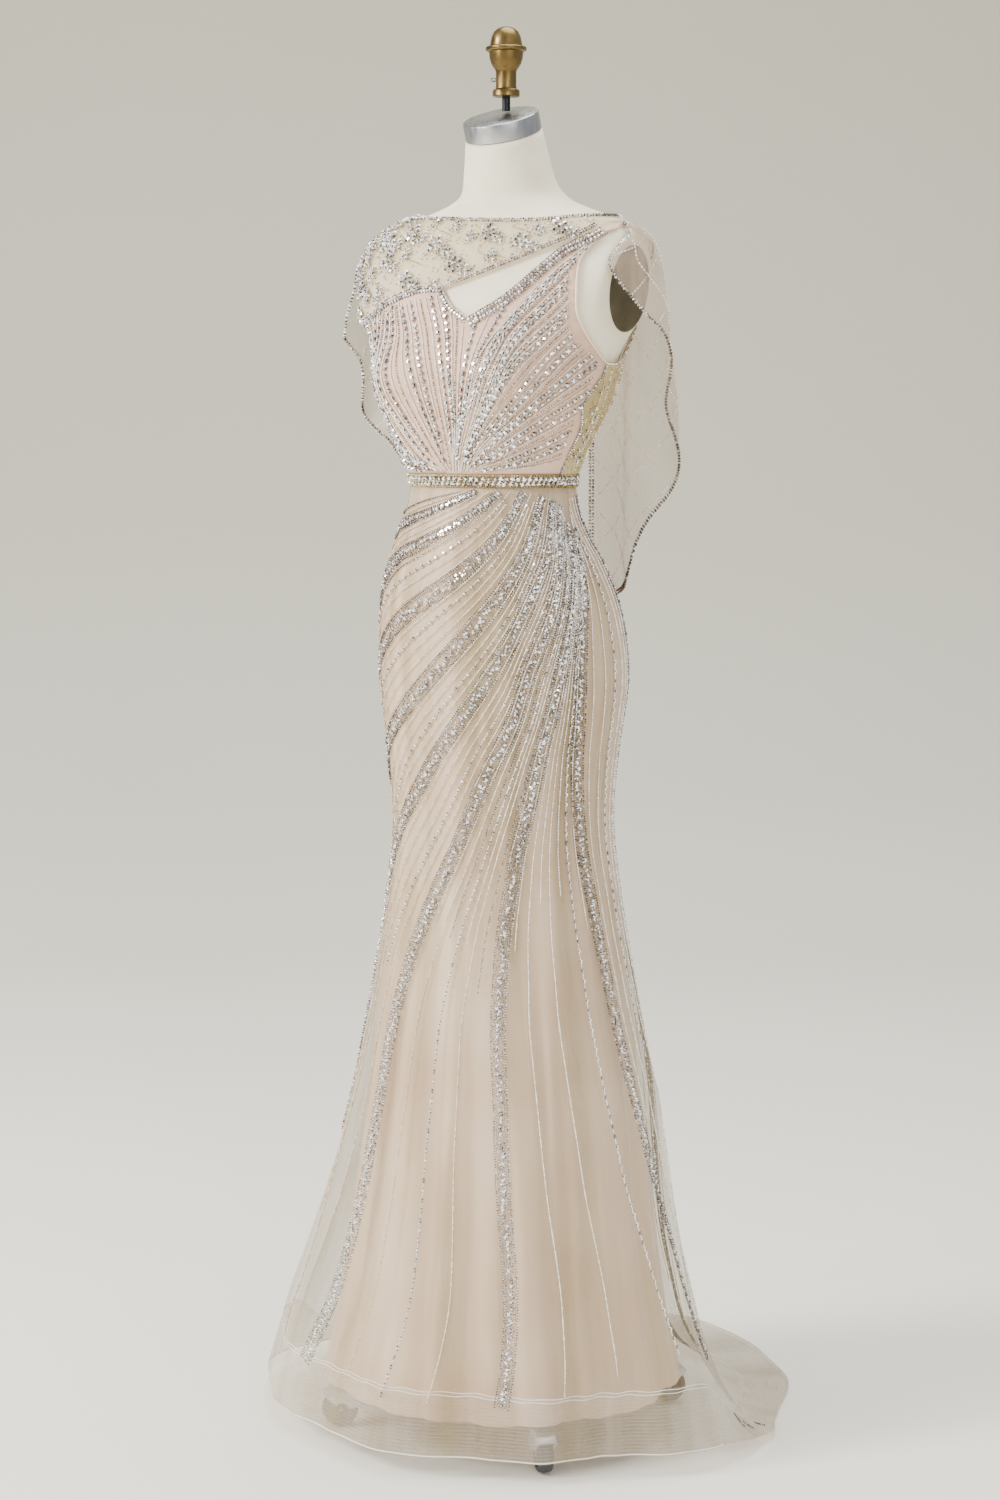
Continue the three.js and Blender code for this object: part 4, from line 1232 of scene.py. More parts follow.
class Stone(Enum):
    """Kinds of stone: sides, length, width, height and share of the flat top."""

    SEED = (4, 1.0, 1.0, 1.0, 0.0)
    BUGLE = (4, 1.5, 0.85, 0.85, 0.0)
    ROUND = (8, 1.0, 1.0, 0.45, 0.55)
    NAVETTE = (6, 1.35, 0.8, 0.45, 0.5)

    def build(self) -> bpy.types.Object:
        """Mesh of the stone with a length of about 1 mm, its flat top towards +Z.

        Returns:
            The stone.
        """
        sides, length, width, height, top = self.value
        turn = 2 * np.pi * np.arange(sides) / sides
        ring = np.stack([np.cos(turn) * length / 2, np.sin(turn) * width / 2, 0 * turn], -1)
        faces: list[tuple[int, ...]] = []
        if top:
            crown = ring * top + [0, 0, height * 0.6]
            points = np.concatenate([ring, crown]) * MM
            faces = [(k, (k + 1) % sides, sides + (k + 1) % sides, sides + k) for k in range(sides)]
            faces.append(tuple(range(sides, 2 * sides)))
            faces.append(tuple(range(sides - 1, -1, -1)))
        elif self is Stone.BUGLE:
            circle = np.stack([0 * turn, np.cos(turn) * width / 2, np.sin(turn) * width / 2], -1)
            ends = [circle * 0.7 + [-length / 2, 0, 0], circle, circle * 0.7 + [length / 2, 0, 0]]
            points = np.concatenate(ends) * MM
            for j in (0, 1):
                for k in range(sides):
                    n, a = (k + 1) % sides, j * sides
                    faces.append((a + k, a + n, a + sides + n, a + sides + k))
        else:
            poles = np.array([[0, 0, -height / 2], [0, 0, height / 2]])
            points = np.concatenate([ring, poles]) * MM
            for k in range(sides):
                n = (k + 1) % sides
                faces += [(k, n, sides + 1), (n, k, sides)]
        made = mesh_object(f"stone_{self.name.lower()}", points, faces)
        made.data.polygons.foreach_set("use_smooth", [self is Stone.BUGLE] * len(made.data.polygons))
        # Painted highlights and painted shade, one value for each face, which the stone finishes turn into
        # colour and glow.
        facet = made.data.attributes.new("facet", "FLOAT", "FACE")
        facet.data.foreach_set("value", self.facets(len(faces), sides, top))
        made.hide_render = True
        return made

    def facets(self, count: int, sides: int, top: float) -> list[float]:
        """Painted light on each face: bright faces stand in for highlights and reflections, dark ones for
        shade, and the flat top carries the brightest painted highlight.

        Args:
            count: how many facets there are.
            sides: sides of the stone.
            top: share of the flat top.

        Returns:
            One painted light value for each face.
        """
        if top:
            return [PAINTED_FACET_LIGHT[k % len(PAINTED_FACET_LIGHT)] for k in range(sides)] + [0.92, 0.0]
        if self is Stone.BUGLE:
            return [(0.4, 1.0, 0.85, 0.55)[k % 4] for k in range(count)]
        return [(1.0, 0.0, 0.15, 0.5)[k // 2 % 4] for k in range(count)]


_stones: dict[Stone, bpy.types.Object] = {}


def stone(kind: Stone) -> bpy.types.Object:
    """The prototype of a kind of stone, made the first time.

    Args:
        kind: the kind of stone.

    Returns:
        The prototype.
    """
    if kind not in _stones:
        _stones[kind] = kind.build()
    return _stones[kind]


# Seams and edges of the upper gown: (angle, level).
SIDE_SEAM = ((78, 1198.3), (81, 1225), (82, 1250), (76, 1282), (85, 1316), (87, 1330))
BACK_SEAM = ((118, 1198.3), (120, 1260), (124, 1330), (128, 1380))
SIDE_TOP = ((128, 1380), (112, 1346), (98, 1332), (87, 1330))
YOKE_SEAM = ((-72, 1380), (-57, 1383), (-43, 1388), (-31, 1402), (-14, 1416), (-5, 1416))
YOKE_SIDE = ((-90, 1440), (-90, 1400), (-82, 1383), (-72, 1380))
NECK_NOTCH = ((-5, 1416), (0, 1396), (8, 1380))
NECK_BAND = ((8, 1380), (19, 1404), (31, 1442), (38, 1460), (47, 1472), (60, 1484), (90, 1494.5))
ARMHOLE = (
    (90, 1490), (74, 1487), (59, 1479), (52, 1466), (47, 1450), (46, 1436), (47, 1414), (51, 1390),
    (59, 1372), (68, 1356), (82, 1336), (87, 1330),
)
YOKE_TOP = ((-90, 1499), (-55, 1506), (-23, 1503), (13, 1497), (32, 1496), (56, 1499), (90, 1499.5))
YOKE_LOW = ((-5, 1416), (9, 1432), (23, 1450), (38, 1468), (60, 1488), (90, 1496))
BACK_TOP = ((128, 1380), (150, 1404), (180, 1412))
BACK_YOKE_LOW = ((90, 1484), (110, 1470), (128, 1450), (150, 1430), (180, 1412))
BACK_YOKE_TOP = ((180, 1500), (150, 1500), (120, 1500), (90, 1499.5))

# Rays of beading on the bodice, in order from the wearer's right, and lines set between them.
BODICE_RAYS = [
    ((-24, 1202), (-50, 1208), (-78, 1220)),
    ((-20, 1203), (-50, 1222), (-70, 1245), (-79, 1258)),
    ((-16, 1203), (-46, 1232), (-66, 1275), (-79, 1310)),
    ((-14, 1203), (-40, 1232), (-58, 1280), (-62, 1330), (-62, 1378)),
    ((-12, 1203), (-32, 1216), (-45, 1250), (-47, 1298), (-44, 1350), (-34, 1396)),
    ((-3, 1203), (-7, 1230), (-11, 1269), (-14, 1310), (-19, 1350), (-23, 1405)),
    ((0, 1203), (3, 1230), (5, 1269), (4, 1310), (1, 1348), (-7, 1412)),
    ((2, 1203), (6, 1240), (8, 1269), (10, 1322), (7, 1376)),
    ((3, 1203), (9, 1250), (14, 1290), (18, 1330), (20, 1370), (22, 1402)),
    ((4, 1203), (15, 1282), (22, 1328), (24, 1370), (30, 1406), (40, 1444), (56, 1476)),
    ((5, 1203), (17, 1269), (26, 1332), (28, 1374), (34, 1407), (43, 1442)),
    ((6, 1203), (18, 1257), (29, 1308), (33, 1353), (37, 1384), (44, 1420)),
    ((8, 1203), (12, 1222), (26, 1280), (36, 1322), (44, 1353), (49, 1388)),
    ((9, 1203), (19, 1233), (35, 1275), (48, 1317), (60, 1360)),
    ((10, 1203), (23, 1227), (42, 1264), (60, 1300), (81, 1332)),
    ((12, 1203), (34, 1222), (54, 1246), (75, 1272)),
    ((16, 1202), (50, 1216), (76, 1238)),
    ((20, 1201), (50, 1205), (76, 1210)),
]
BETWEEN_RAYS = (4, 6, 7, 9, 10, 7, 4, 3, 3, 4, 5, 6, 5, 7, 7, 5, 4)

# Raised flowers of the yoke, as on the solid, and the smaller flowers between them.
FLOWERS = (
    (-70, 1482), (-58, 1496), (-62, 1446), (-50, 1420), (-44, 1478), (-36, 1452), (-30, 1484), (-22, 1428),
    (-14, 1470), (-2, 1444), (8, 1482), (22, 1470), (40, 1486),
)
SMALL_FLOWERS = (
    (-80, 1464), (-76, 1436), (-66, 1412), (-60, 1470), (-52, 1452), (-50, 1498), (-44, 1434), (-37, 1497),
    (-34, 1470), (-36, 1416), (-21, 1495), (-26, 1458), (-22, 1478), (-9, 1420), (-8, 1490), (-6, 1457),
    (1, 1478), (12, 1452), (30, 1482),
)

# Key rays of the skirt fan: the wide bands, then rays that go on round the back.
FAN = {
    "waist": ((4, 1176), (-22, 1166), (-55, 1152), (-88, 1140)),
    "b1": ((15, 1176), (-18, 1152), (-67, 1125), (-88, 1112)),
    "b2": ((31, 1176), (6, 1140), (-20, 1112), (-36, 1098), (-56, 1065), (-88, 1010)),
    "b3": ((48, 1176), (31, 1125), (9, 1078), (-13, 1042), (-27, 1020), (-54, 968), (-88, 890)),
    "b4": ((62, 1172), (49, 1120), (28, 1052), (8, 995), (-13, 938), (-29, 902), (-59, 840), (-88, 760)),
    "b5": (
        (70, 1166), (62, 1120), (43, 1050), (27, 978), (8, 902), (-16, 820), (-36, 762), (-52, 690),
        (-57, 600), (-62, 500), (-70, 360),
    ),
    "b6": (
        (76, 1160), (56, 1050), (40, 965), (32, 892), (19, 820), (6, 745), (-7, 675), (-20, 580),
        (-25, 490), (-26, 390), (-26, 300), (-28, 192), (-34, 95),
    ),
    "b7": (
        (80, 1140), (58, 990), (50, 892), (44, 808), (36, 722), (30, 640), (27, 545), (27, 450), (28, 332),
        (30, 218), (29, 150), (27, 88),
    ),
    "b8": (
        (84, 1130), (66, 988), (68, 868), (74, 755), (79, 658), (82, 560), (84, 480), (86, 420), (88, 342),
        (93, 250), (99, 160),
    ),
    "hip": ((88, 1168), (95, 1050), (100, 900), (104, 750), (107, 600), (112, 480), (120, 340), (130, 200)),
    "back1": ((102, 1170), (114, 1000), (122, 800), (126, 600), (132, 440), (142, 300), (150, 190)),
    "back2": ((130, 1170), (142, 1000), (147, 800), (150, 600), (154, 420), (159, 260), (163, 150)),
    "back3": ((164, 1170), (168, 1000), (170, 800), (171, 600), (173, 400), (175, 230), (176, 140)),
}
FAN_ORDER = tuple(FAN)
BAND_HALF = {
    "b1": 7.5,
    "b2": 9.5,
    "b3": 10.5,
    "b4": 10.5,
    "b5": 9.5,
    "b6": 9.0,
    "b7": 8.5,
    "b8": 8.5,
    "back1": 8.0,
    "back2": 8.0,
}
STRINGS = [
    # index of the first key ray, share towards the next, start, end, kind
    (0, 0.0, 0.0, 1.0, "grey"),
    (0, 0.35, 0.0, 1.0, "white"),
    (0, 0.68, 0.0, 1.0, "white"),
    (1, 0.3, 0.05, 1.0, "white"),
    (1, 0.55, 0.0, 1.0, "white"),
    (1, 0.8, 0.1, 1.0, "grey"),
    (2, 0.22, 0.08, 1.0, "grey"),
    (2, 0.42, 0.0, 1.0, "stones"),
    (2, 0.6, 0.05, 1.0, "white"),
    (2, 0.8, 0.1, 1.0, "white"),
    (3, 0.2, 0.06, 1.0, "white"),
    (3, 0.36, 0.0, 1.0, "stones"),
    (3, 0.52, 0.04, 1.0, "white"),
    (3, 0.68, 0.02, 1.0, "white"),
    (3, 0.84, 0.08, 1.0, "white"),
    (4, 0.18, 0.06, 0.95, "white"),
    (4, 0.34, 0.0, 1.0, "white"),
    (4, 0.5, 0.04, 0.8, "stones"),
    (4, 0.66, 0.0, 0.9, "white"),
    (4, 0.82, 0.05, 0.7, "white"),
    (5, 0.16, 0.08, 0.72, "white"),
    (5, 0.3, 0.0, 0.9, "white"),
    (5, 0.44, 0.04, 0.98, "white"),
    (5, 0.58, 0.0, 0.62, "stones"),
    (5, 0.72, 0.04, 0.9, "white"),
    (5, 0.86, 0.08, 0.55, "white"),
    (6, 0.14, 0.06, 0.5, "white"),
    (6, 0.28, 0.0, 0.99, "white"),
    (6, 0.39, 0.04, 0.5, "grey"),
    (6, 0.5, 0.0, 1.0, "stones"),
    (6, 0.6, 0.03, 0.5, "white"),
    (6, 0.69, 0.0, 1.01, "white"),
    (6, 0.8, 0.03, 0.55, "grey"),
    (6, 0.9, 0.06, 0.4, "white"),
    (7, 0.12, 0.08, 0.5, "white"),
    (7, 0.24, 0.04, 1.0, "white"),
    (7, 0.36, 0.04, 0.45, "white"),
    (7, 0.47, 0.02, 1.0, "white"),
    (7, 0.6, 0.04, 0.45, "white"),
    (7, 0.74, 0.02, 1.0, "stones"),
    (7, 0.88, 0.05, 0.5, "white"),
    (8, 0.25, 0.02, 0.75, "white"),
    (8, 0.5, 0.0, 0.95, "white"),
    (8, 0.75, 0.0, 0.7, "stones"),
    (8, 1.0, 0.0, 1.0, "white"),
    (9, 0.35, 0.0, 0.6, "white"),
    (9, 0.7, 0.0, 0.95, "white"),
    (10, 0.35, 0.0, 0.9, "white"),
    (10, 0.68, 0.0, 0.6, "stones"),
    (11, 0.3, 0.0, 0.9, "white"),
    (11, 0.62, 0.0, 0.6, "white"),
    (11, 1.0, 0.0, 1.0, "white"),
]
TRAIN_ENDS = (((103, 92), (106, 66)), ((109, 84), (112, 58)), ((116, 78), (119, 52)))
LONE_STRINGS = (
    ((-44, 480), (-47, 375), (-48, 185), (-58, 68)), ((-98, 1010), (-100, 760), (-104, 500), (-112, 300))
)


def inside(shape: Array, points: Array) -> Array:
    """Which points lie inside a closed outline.

    Args:
        shape: points of the outline.
        points: places that are tested.

    Returns:
        True for each place inside.
    """
    a, b = shape, np.roll(shape, -1, 0)
    x, y = points[:, :1], points[:, 1:]
    cross = (a[:, 1] > y) != (b[:, 1] > y)
    rise = np.where(np.abs(b[:, 1] - a[:, 1]) < 1e-9, 1e-9, b[:, 1] - a[:, 1])
    return (cross & (x < a[:, 0] + (y - a[:, 1]) * (b[:, 0] - a[:, 0]) / rise)).sum(1) % 2 == 1


def outline(*edges: Sequence[tuple[float, float]], step: float = 5.0) -> Array:
    """Closed outline that runs along edges in turn, each a smooth path.

    Args:
        edges: (angle, level) places of each edge.
        step: millimetres between the points that come back.

    Returns:
        Points of the outline.
    """
    runs = []
    for edge in edges:
        fine = curve_through(edge, 200)
        length = np.hypot(np.diff(fine[:, 0]) * 2.4, np.diff(fine[:, 1])).sum()
        runs.append(curve_through(edge, max(2, int(length / step) + 1))[:-1])
    return np.concatenate(runs)


def back(edge: Sequence[tuple[float, float]]) -> Sequence[tuple[float, float]]:
    """The edge in the other direction."""
    return tuple(reversed(edge))


def flip(shape: Array) -> Array:
    """The outline on the other side of the body."""
    return shape[::-1] * [-1, 1]


def cloth_panel(
    name: str, shape: Array, look: str, rise: Callable | None = None, step: float = 5.0,
    wall: float = 0.0
) -> bpy.types.Object:
    """Panel of cloth that lies over the form inside an outline.

    Args:
        name: the piece's name, and its solid's.
        shape: outline in angle and level.
        look: its finish.
        rise: extra height over the form at an angle and level.
        step: distance between points in millimetres.
        wall: thickness in millimetres, or 0 for a single net layer.

    Returns:
        The piece.
    """
    scale = np.array([2.4, 1.0])
    edge = shape * scale
    low, high = edge.min(0), edge.max(0)
    xs, ys = np.arange(low[0] + step / 2, high[0], step), np.arange(low[1] + step / 2, high[1], step)
    grid = np.stack(np.meshgrid(xs, ys), -1).reshape(-1, 2)
    near = np.hypot(grid[:, None, 0] - edge[None, :, 0], grid[:, None, 1] - edge[None, :, 1]).min(1)
    grid = grid[inside(edge, grid) & (near > step * 0.55)]
    every = [Vector(p) for p in np.concatenate([edge, grid])]
    points, _, faces, *_ = delaunay_2d_cdt(every, [], [list(range(len(edge)))], 1, 1e-5)
    flat = np.array([tuple(p) for p in points])
    angle, level = flat[:, 0] / scale[0], flat[:, 1]
    height = np.full(len(flat), CLOTH_OUT) + (rise(angle, level) if rise else 0)
    piece = mesh_object(f"{name}_cloth", body(angle, level, height), faces, flat * MM)
    if wall:
        solidify(piece, wall)
    dress(piece, look, "root")
    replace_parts(piece, name)
    width, length = float(np.ptp(flat[:, 0])) * 1.02 * MM, float(np.ptp(flat[:, 1])) * 1.04 * MM
    mesh = piece.data
    area = sum(p.area for p in mesh.polygons) / (2.0 if wall else 1.0)
    area = min(max(area, 0.31 * width * length), width * length)
    return piece


def ribbon(
    name: str, surface: Surface, path: Array, width: float, look: str, out: float = 0.4,
    aside: float = 0.0
) -> bpy.types.Object:
    """Narrow raised strip, such as a binding or a line of stitching.

    Args:
        name: the piece's name.
        surface: the cloth under it.
        path: places along its middle.
        width: millimetres.
        look: its finish.
        out: height over the cloth.
        aside: millimetres off the path, across it.

    Returns:
        The piece.
    """
    middle = surface(path[:, 0], path[:, 1], out)
    span = 0.004 if abs(np.max(np.abs(path))) <= 1.5 else 1.0
    side = surface(path[:, 0] + span, path[:, 1], out) - surface(path[:, 0] - span, path[:, 1], out)
    rise = surface(path[:, 0], path[:, 1] + span, out) - surface(path[:, 0], path[:, 1] - span, out)
    normal = unit(np.cross(side, rise))
    cross = unit(np.cross(normal, unit(np.gradient(middle, axis=0))))
    profile = ((-0.5, -0.35), (-0.3, 0.25), (0, 0.4), (0.3, 0.25), (0.5, -0.35))
    rows = [middle + cross * ((a * width + aside) * MM) + normal * (b * width * 0.5 * MM) for a, b in profile]
    points = np.stack(rows)
    piece = mesh_object(
        name, points.reshape(-1, 3), grid_faces(*points.shape[:2]), flat_map(points).reshape(-1, 2)
    )
    return dress(piece, look, "root")


def turned(
    profile: Sequence[tuple[float, float]], sides: int, place: Callable[[Array], Array]
) -> tuple[Array, list]:
    """Points and faces of a turned form.

    Args:
        profile: radius and height from the bottom up; a radius of 0 closes an end.
        sides: how many sides it has.
        place: puts points in millimetres in their place.

    Returns:
        Points in metres and faces.
    """
    turn = 2 * np.pi * np.arange(sides) / sides
    points, rings = [], []
    for radius, height in profile:
        rings.append(list(range(len(points), len(points) + (sides if radius else 1))))
        for a in turn if radius else [0.0]:
            points.append((radius * math.cos(a), radius * math.sin(a), height))
    faces = []
    for low, high in zip(rings, rings[1:]):
        for k in range(sides):
            n = (k + 1) % sides
            if len(low) == 1:
                faces.append((low[0], high[n], high[k]))
            elif len(high) == 1:
                faces.append((low[k], low[n], high[0]))
            else:
                faces.append((low[k], low[n], high[n], high[k]))
    return place(np.array(points, float)) * MM + AXIS, faces


def upright(p: Array) -> Array:
    """Points left as they stand."""
    return p


def turned_piece(
    name: str, profile: Sequence, look: str, sides: int = 48, place: Callable = upright,
    body_name: str = "root"
) -> bpy.types.Object:
    """Turned piece that stands for the solid of its name.

    Args:
        name: the solid's name.
        profile: radius and height from the bottom up.
        look: its finish.
        sides: how many sides it has.
        place: puts it in its place.
        body_name: the body that it rides on.

    Returns:
        The piece.
    """
    points, faces = turned(profile, sides, place)
    piece = mesh_object(name + "_finish", points, faces)
    sharp = piece.modifiers.new("edges", "EDGE_SPLIT")
    sharp.split_angle = math.radians(38)
    apply_modifiers(piece)
    dress(piece, look, body_name)
    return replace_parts(piece, name)


@dataclass
class DressForm:
    """Limbless form under the gown, with its neck, plates and knob."""

    columns: int = 120
    plate_half: tuple[float, float] = (44.0, 51.0)
    plate_level: float = 1417.0
    cap_tilt: float = 20.0

    def build(self) -> None:
        """Builds every piece of the form."""
        self.torso()
        self.plates()
        self.neck()
        LOG.info("dress form")

    def torso(self) -> None:
        """Smooth covered torso, closed at the neck and below the hips."""
        levels = np.concatenate(
            [np.arange(860, 1480, 10), np.arange(1480, 1560, 4), np.arange(1560, 1607, 7.6)]
        )
        angles = np.arange(self.columns) * 360 / self.columns - 180
        a, l = np.meshgrid(angles, levels)
        grid = (section(BODY, a.ravel(), l.ravel(), 0)) * MM + AXIS
        points = grid.reshape(len(levels), -1, 3)
        rims = [points[0], points[-1]]
        caps = [rim + (rim.mean(0) - rim) * 0.5 for rim in rims]
        ends = [rim.mean(0) for rim in rims]
        n = self.columns
        rows = np.concatenate([caps[:1], points, caps[1:]])
        faces = grid_faces(len(rows), n, True)
        total = rows.reshape(-1, 3)
        last = len(total)
        for k in range(n):
            m = (k + 1) % n
            faces.append((m, k, last))
            faces.append((last - n + k, last - n + m, last + 1))
        piece = mesh_object("form_body", np.concatenate([total, ends]), faces)
        dress(piece, "canvas", "root")
        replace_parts(piece, "form_torso")

    def plates(self) -> None:
        """Oval plate at each armhole, with a rounded rim."""
        steps = ((0.0, 2.3), (0.5, 2.3), (0.9, 2.3), (0.97, 2.1), (1.0, 1.4), (1.0, 0.3))
        for name, side in (("armhole_plate_left", 1), ("armhole_plate_right", -1)):

            def place(p: Array, side: int = side) -> Array:
                """Lays the oval on the cut side of the form.

                Args:
                    p: points of the turned form.
                    side: 1 on the wearer's left.

                Returns:
                    The points in place.
                """
                level = self.plate_level + p[:, 1] * self.plate_half[1]
                x = 167 + 0.136 * (level - 1365) + p[:, 2]
                return np.stack([side * x, side * p[:, 0] * self.plate_half[0], level], -1)

            profile = [(r, h) for r, h in steps][::-1]
            turned_piece(name, [(0.0, 0.3), *profile], "plate", 60, place)

    def neck(self) -> None:
        """Steel neck cap, rod, brass knob and its screw."""
        tilt = math.radians(self.cap_tilt)

        def lean(p: Array) -> Array:
            """Leans the cap forward with the neck.

            Args:
                p: points of the turned form.

            Returns:
                The points in place.
            """
            y = p[:, 1] * math.cos(tilt) - p[:, 2] * math.sin(tilt) - 5
            z = p[:, 1] * math.sin(tilt) + p[:, 2] * math.cos(tilt) + 1605.8
            return np.stack([p[:, 0], y, z], -1)

        cap = [(0, 0.5), (45.5, 0.5), (46.8, 1.2), (47, 2.2), (47, 20.6), (46.4, 22.4), (45, 23.3), (0, 23.5)]
        turned_piece("neck_cap", cap, "steel", 96, lean)
        turned_piece(
            "finial_rod", [(0, 1635.2), (5, 1635.2), (5, 1651.6), (0, 1651.6)], "black", 32
        )
        knob = [
            (0, 1652), (15.8, 1652), (16.5, 1652.8), (16.5, 1659), (15.8, 1660), (13, 1661.5), (12.5, 1664),
            (12.5, 1681), (13.2, 1683.5), (15.4, 1686.5), (18.2, 1691), (20, 1697), (21, 1705.4),
            (24.4, 1706.6), (25, 1707.6), (25, 1710.4), (24.2, 1711.3), (20.2, 1712.2), (19.4, 1715),
            (18.8, 1719), (17.6, 1724), (14.8, 1729.4), (10.4, 1733.2), (6, 1735), (0, 1735),
        ]
        turned_piece("finial", knob, "brass", 64)

        def sideways(p: Array) -> Array:
            """Turns the screw to stick out of the collar."""
            return np.stack(
                [-0.85 * p[:, 2] - 0.5 * p[:, 0], -0.5 * p[:, 2] + 0.85 * p[:, 0], 1672 + p[:, 1]], -1
            )

        screw = [(0, 13.2), (2.2, 13.2), (2.4, 13.6), (2.4, 18.6), (2.0, 19), (0, 19)]
        turned_piece("finial_screw", screw, "steel", 20, sideways)


@dataclass
class Stand:
    """Pole, hub, four legs and swivelling casters under the gown."""

    reach: float = 190.0
    trail: float = 24.0
    axle: float = 22.65
    corners: tuple[tuple[str, float], ...] = (
        ("front_left", 45.0), ("front_right", -45.0), ("back_left", 135.0), ("back_right", -135.0)
    )

    def build(self) -> None:
        """Builds the pole and the base."""
        turned_piece("pole", [(0, 72), (12, 72), (12.5, 72.6), (12.5, 859), (0, 859.4)], "steel", 48)
        hub = [(12.9, 76), (32, 76), (33, 77), (33, 115), (32, 116), (12.9, 116), (12.9, 76)]
        turned_piece("base_hub", hub, "steel", 48)
        for corner, degrees in self.corners:
            for part in ("leg", "caster_stem", "caster_axle"):
                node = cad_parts[f"{part}_{corner}"]
                node.data.materials.clear()
                node.data.materials.append(finish("steel"))
            self.wheel(corner, math.radians(degrees))
            self.hood(corner, math.radians(degrees))
        LOG.info("stand")

    def put(self, turn: float, r: Array, w: Array, z: Array) -> Array:
        """Points at a reach along the leg, a width across it and a height.

        Args:
            turn: direction of the leg.
            r: reach along it.
            w: width across it.
            z: height.

        Returns:
            The points in millimetres.
        """
        x = r * math.sin(turn) + w * math.cos(turn)
        y = -r * math.cos(turn) + w * math.sin(turn)
        return np.stack([x, y, z], -1)

    def wheel(self, corner: str, turn: float) -> None:
        """Rubber wheel with rounded shoulders and a dished side.

        Args:
            corner: name of the leg.
            turn: its direction.
        """
        tyre = [
            (3.4, -8.6), (8, -8.6), (9, -7), (15, -7), (16, -8.8), (20, -8.8), (22, -7), (22.65, -3),
            (22.65, 3), (22, 7), (20, 8.8), (16, 8.8), (15, 7), (9, 7), (8, 8.6), (3.4, 8.6), (3.4, -8.6)
        ]

        def spin(p: Array) -> Array:
            """Turns the wheel to stand on its rim at the end of the leg."""
            return self.put(turn, self.reach + self.trail + p[:, 0], p[:, 2], self.axle + p[:, 1])

        turned_piece(f"caster_wheel_{corner}", tyre, "rubber", 40, spin, f"roll_{corner}")

    def hood(self, corner: str, turn: float) -> None:
        """Hood that arches over the wheel.

        Args:
            corner: name of the leg.
            turn: its direction.
        """
        ring = [
            (-12.8, 9), (-12.8, 26.5), (-11.6, 29.4), (-9.5, 30.2), (9.5, 30.2), (11.6, 29.4), (12.8, 26.5),
            (12.8, 9), (9.9, 9), (9.9, 25.4), (-9.9, 25.4), (-9.9, 9)
        ]
        turns = np.radians(np.linspace(42, 172, 20))
        rows = []
        for a in turns:
            w, rho = np.array(ring, float).T
            r = self.reach + self.trail + rho * math.cos(a)
            rows.append(self.put(turn, r, w, self.axle + rho * math.sin(a)))
        points = np.concatenate(rows)
        count = len(ring)
        faces = [tuple(reversed(f)) for f in grid_faces(len(rows), count, True)]
        faces += [tuple(range(count)), tuple(range(len(points) - 1, len(points) - count - 1, -1))]
        piece = mesh_object(f"caster_hood_{corner}_finish", points * MM + AXIS, faces)
        sharp = piece.modifiers.new("edges", "EDGE_SPLIT")
        sharp.split_angle = math.radians(40)
        apply_modifiers(piece)
        dress(piece, "hood", f"swivel_{corner}")
        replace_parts(piece, f"caster_hood_{corner}")


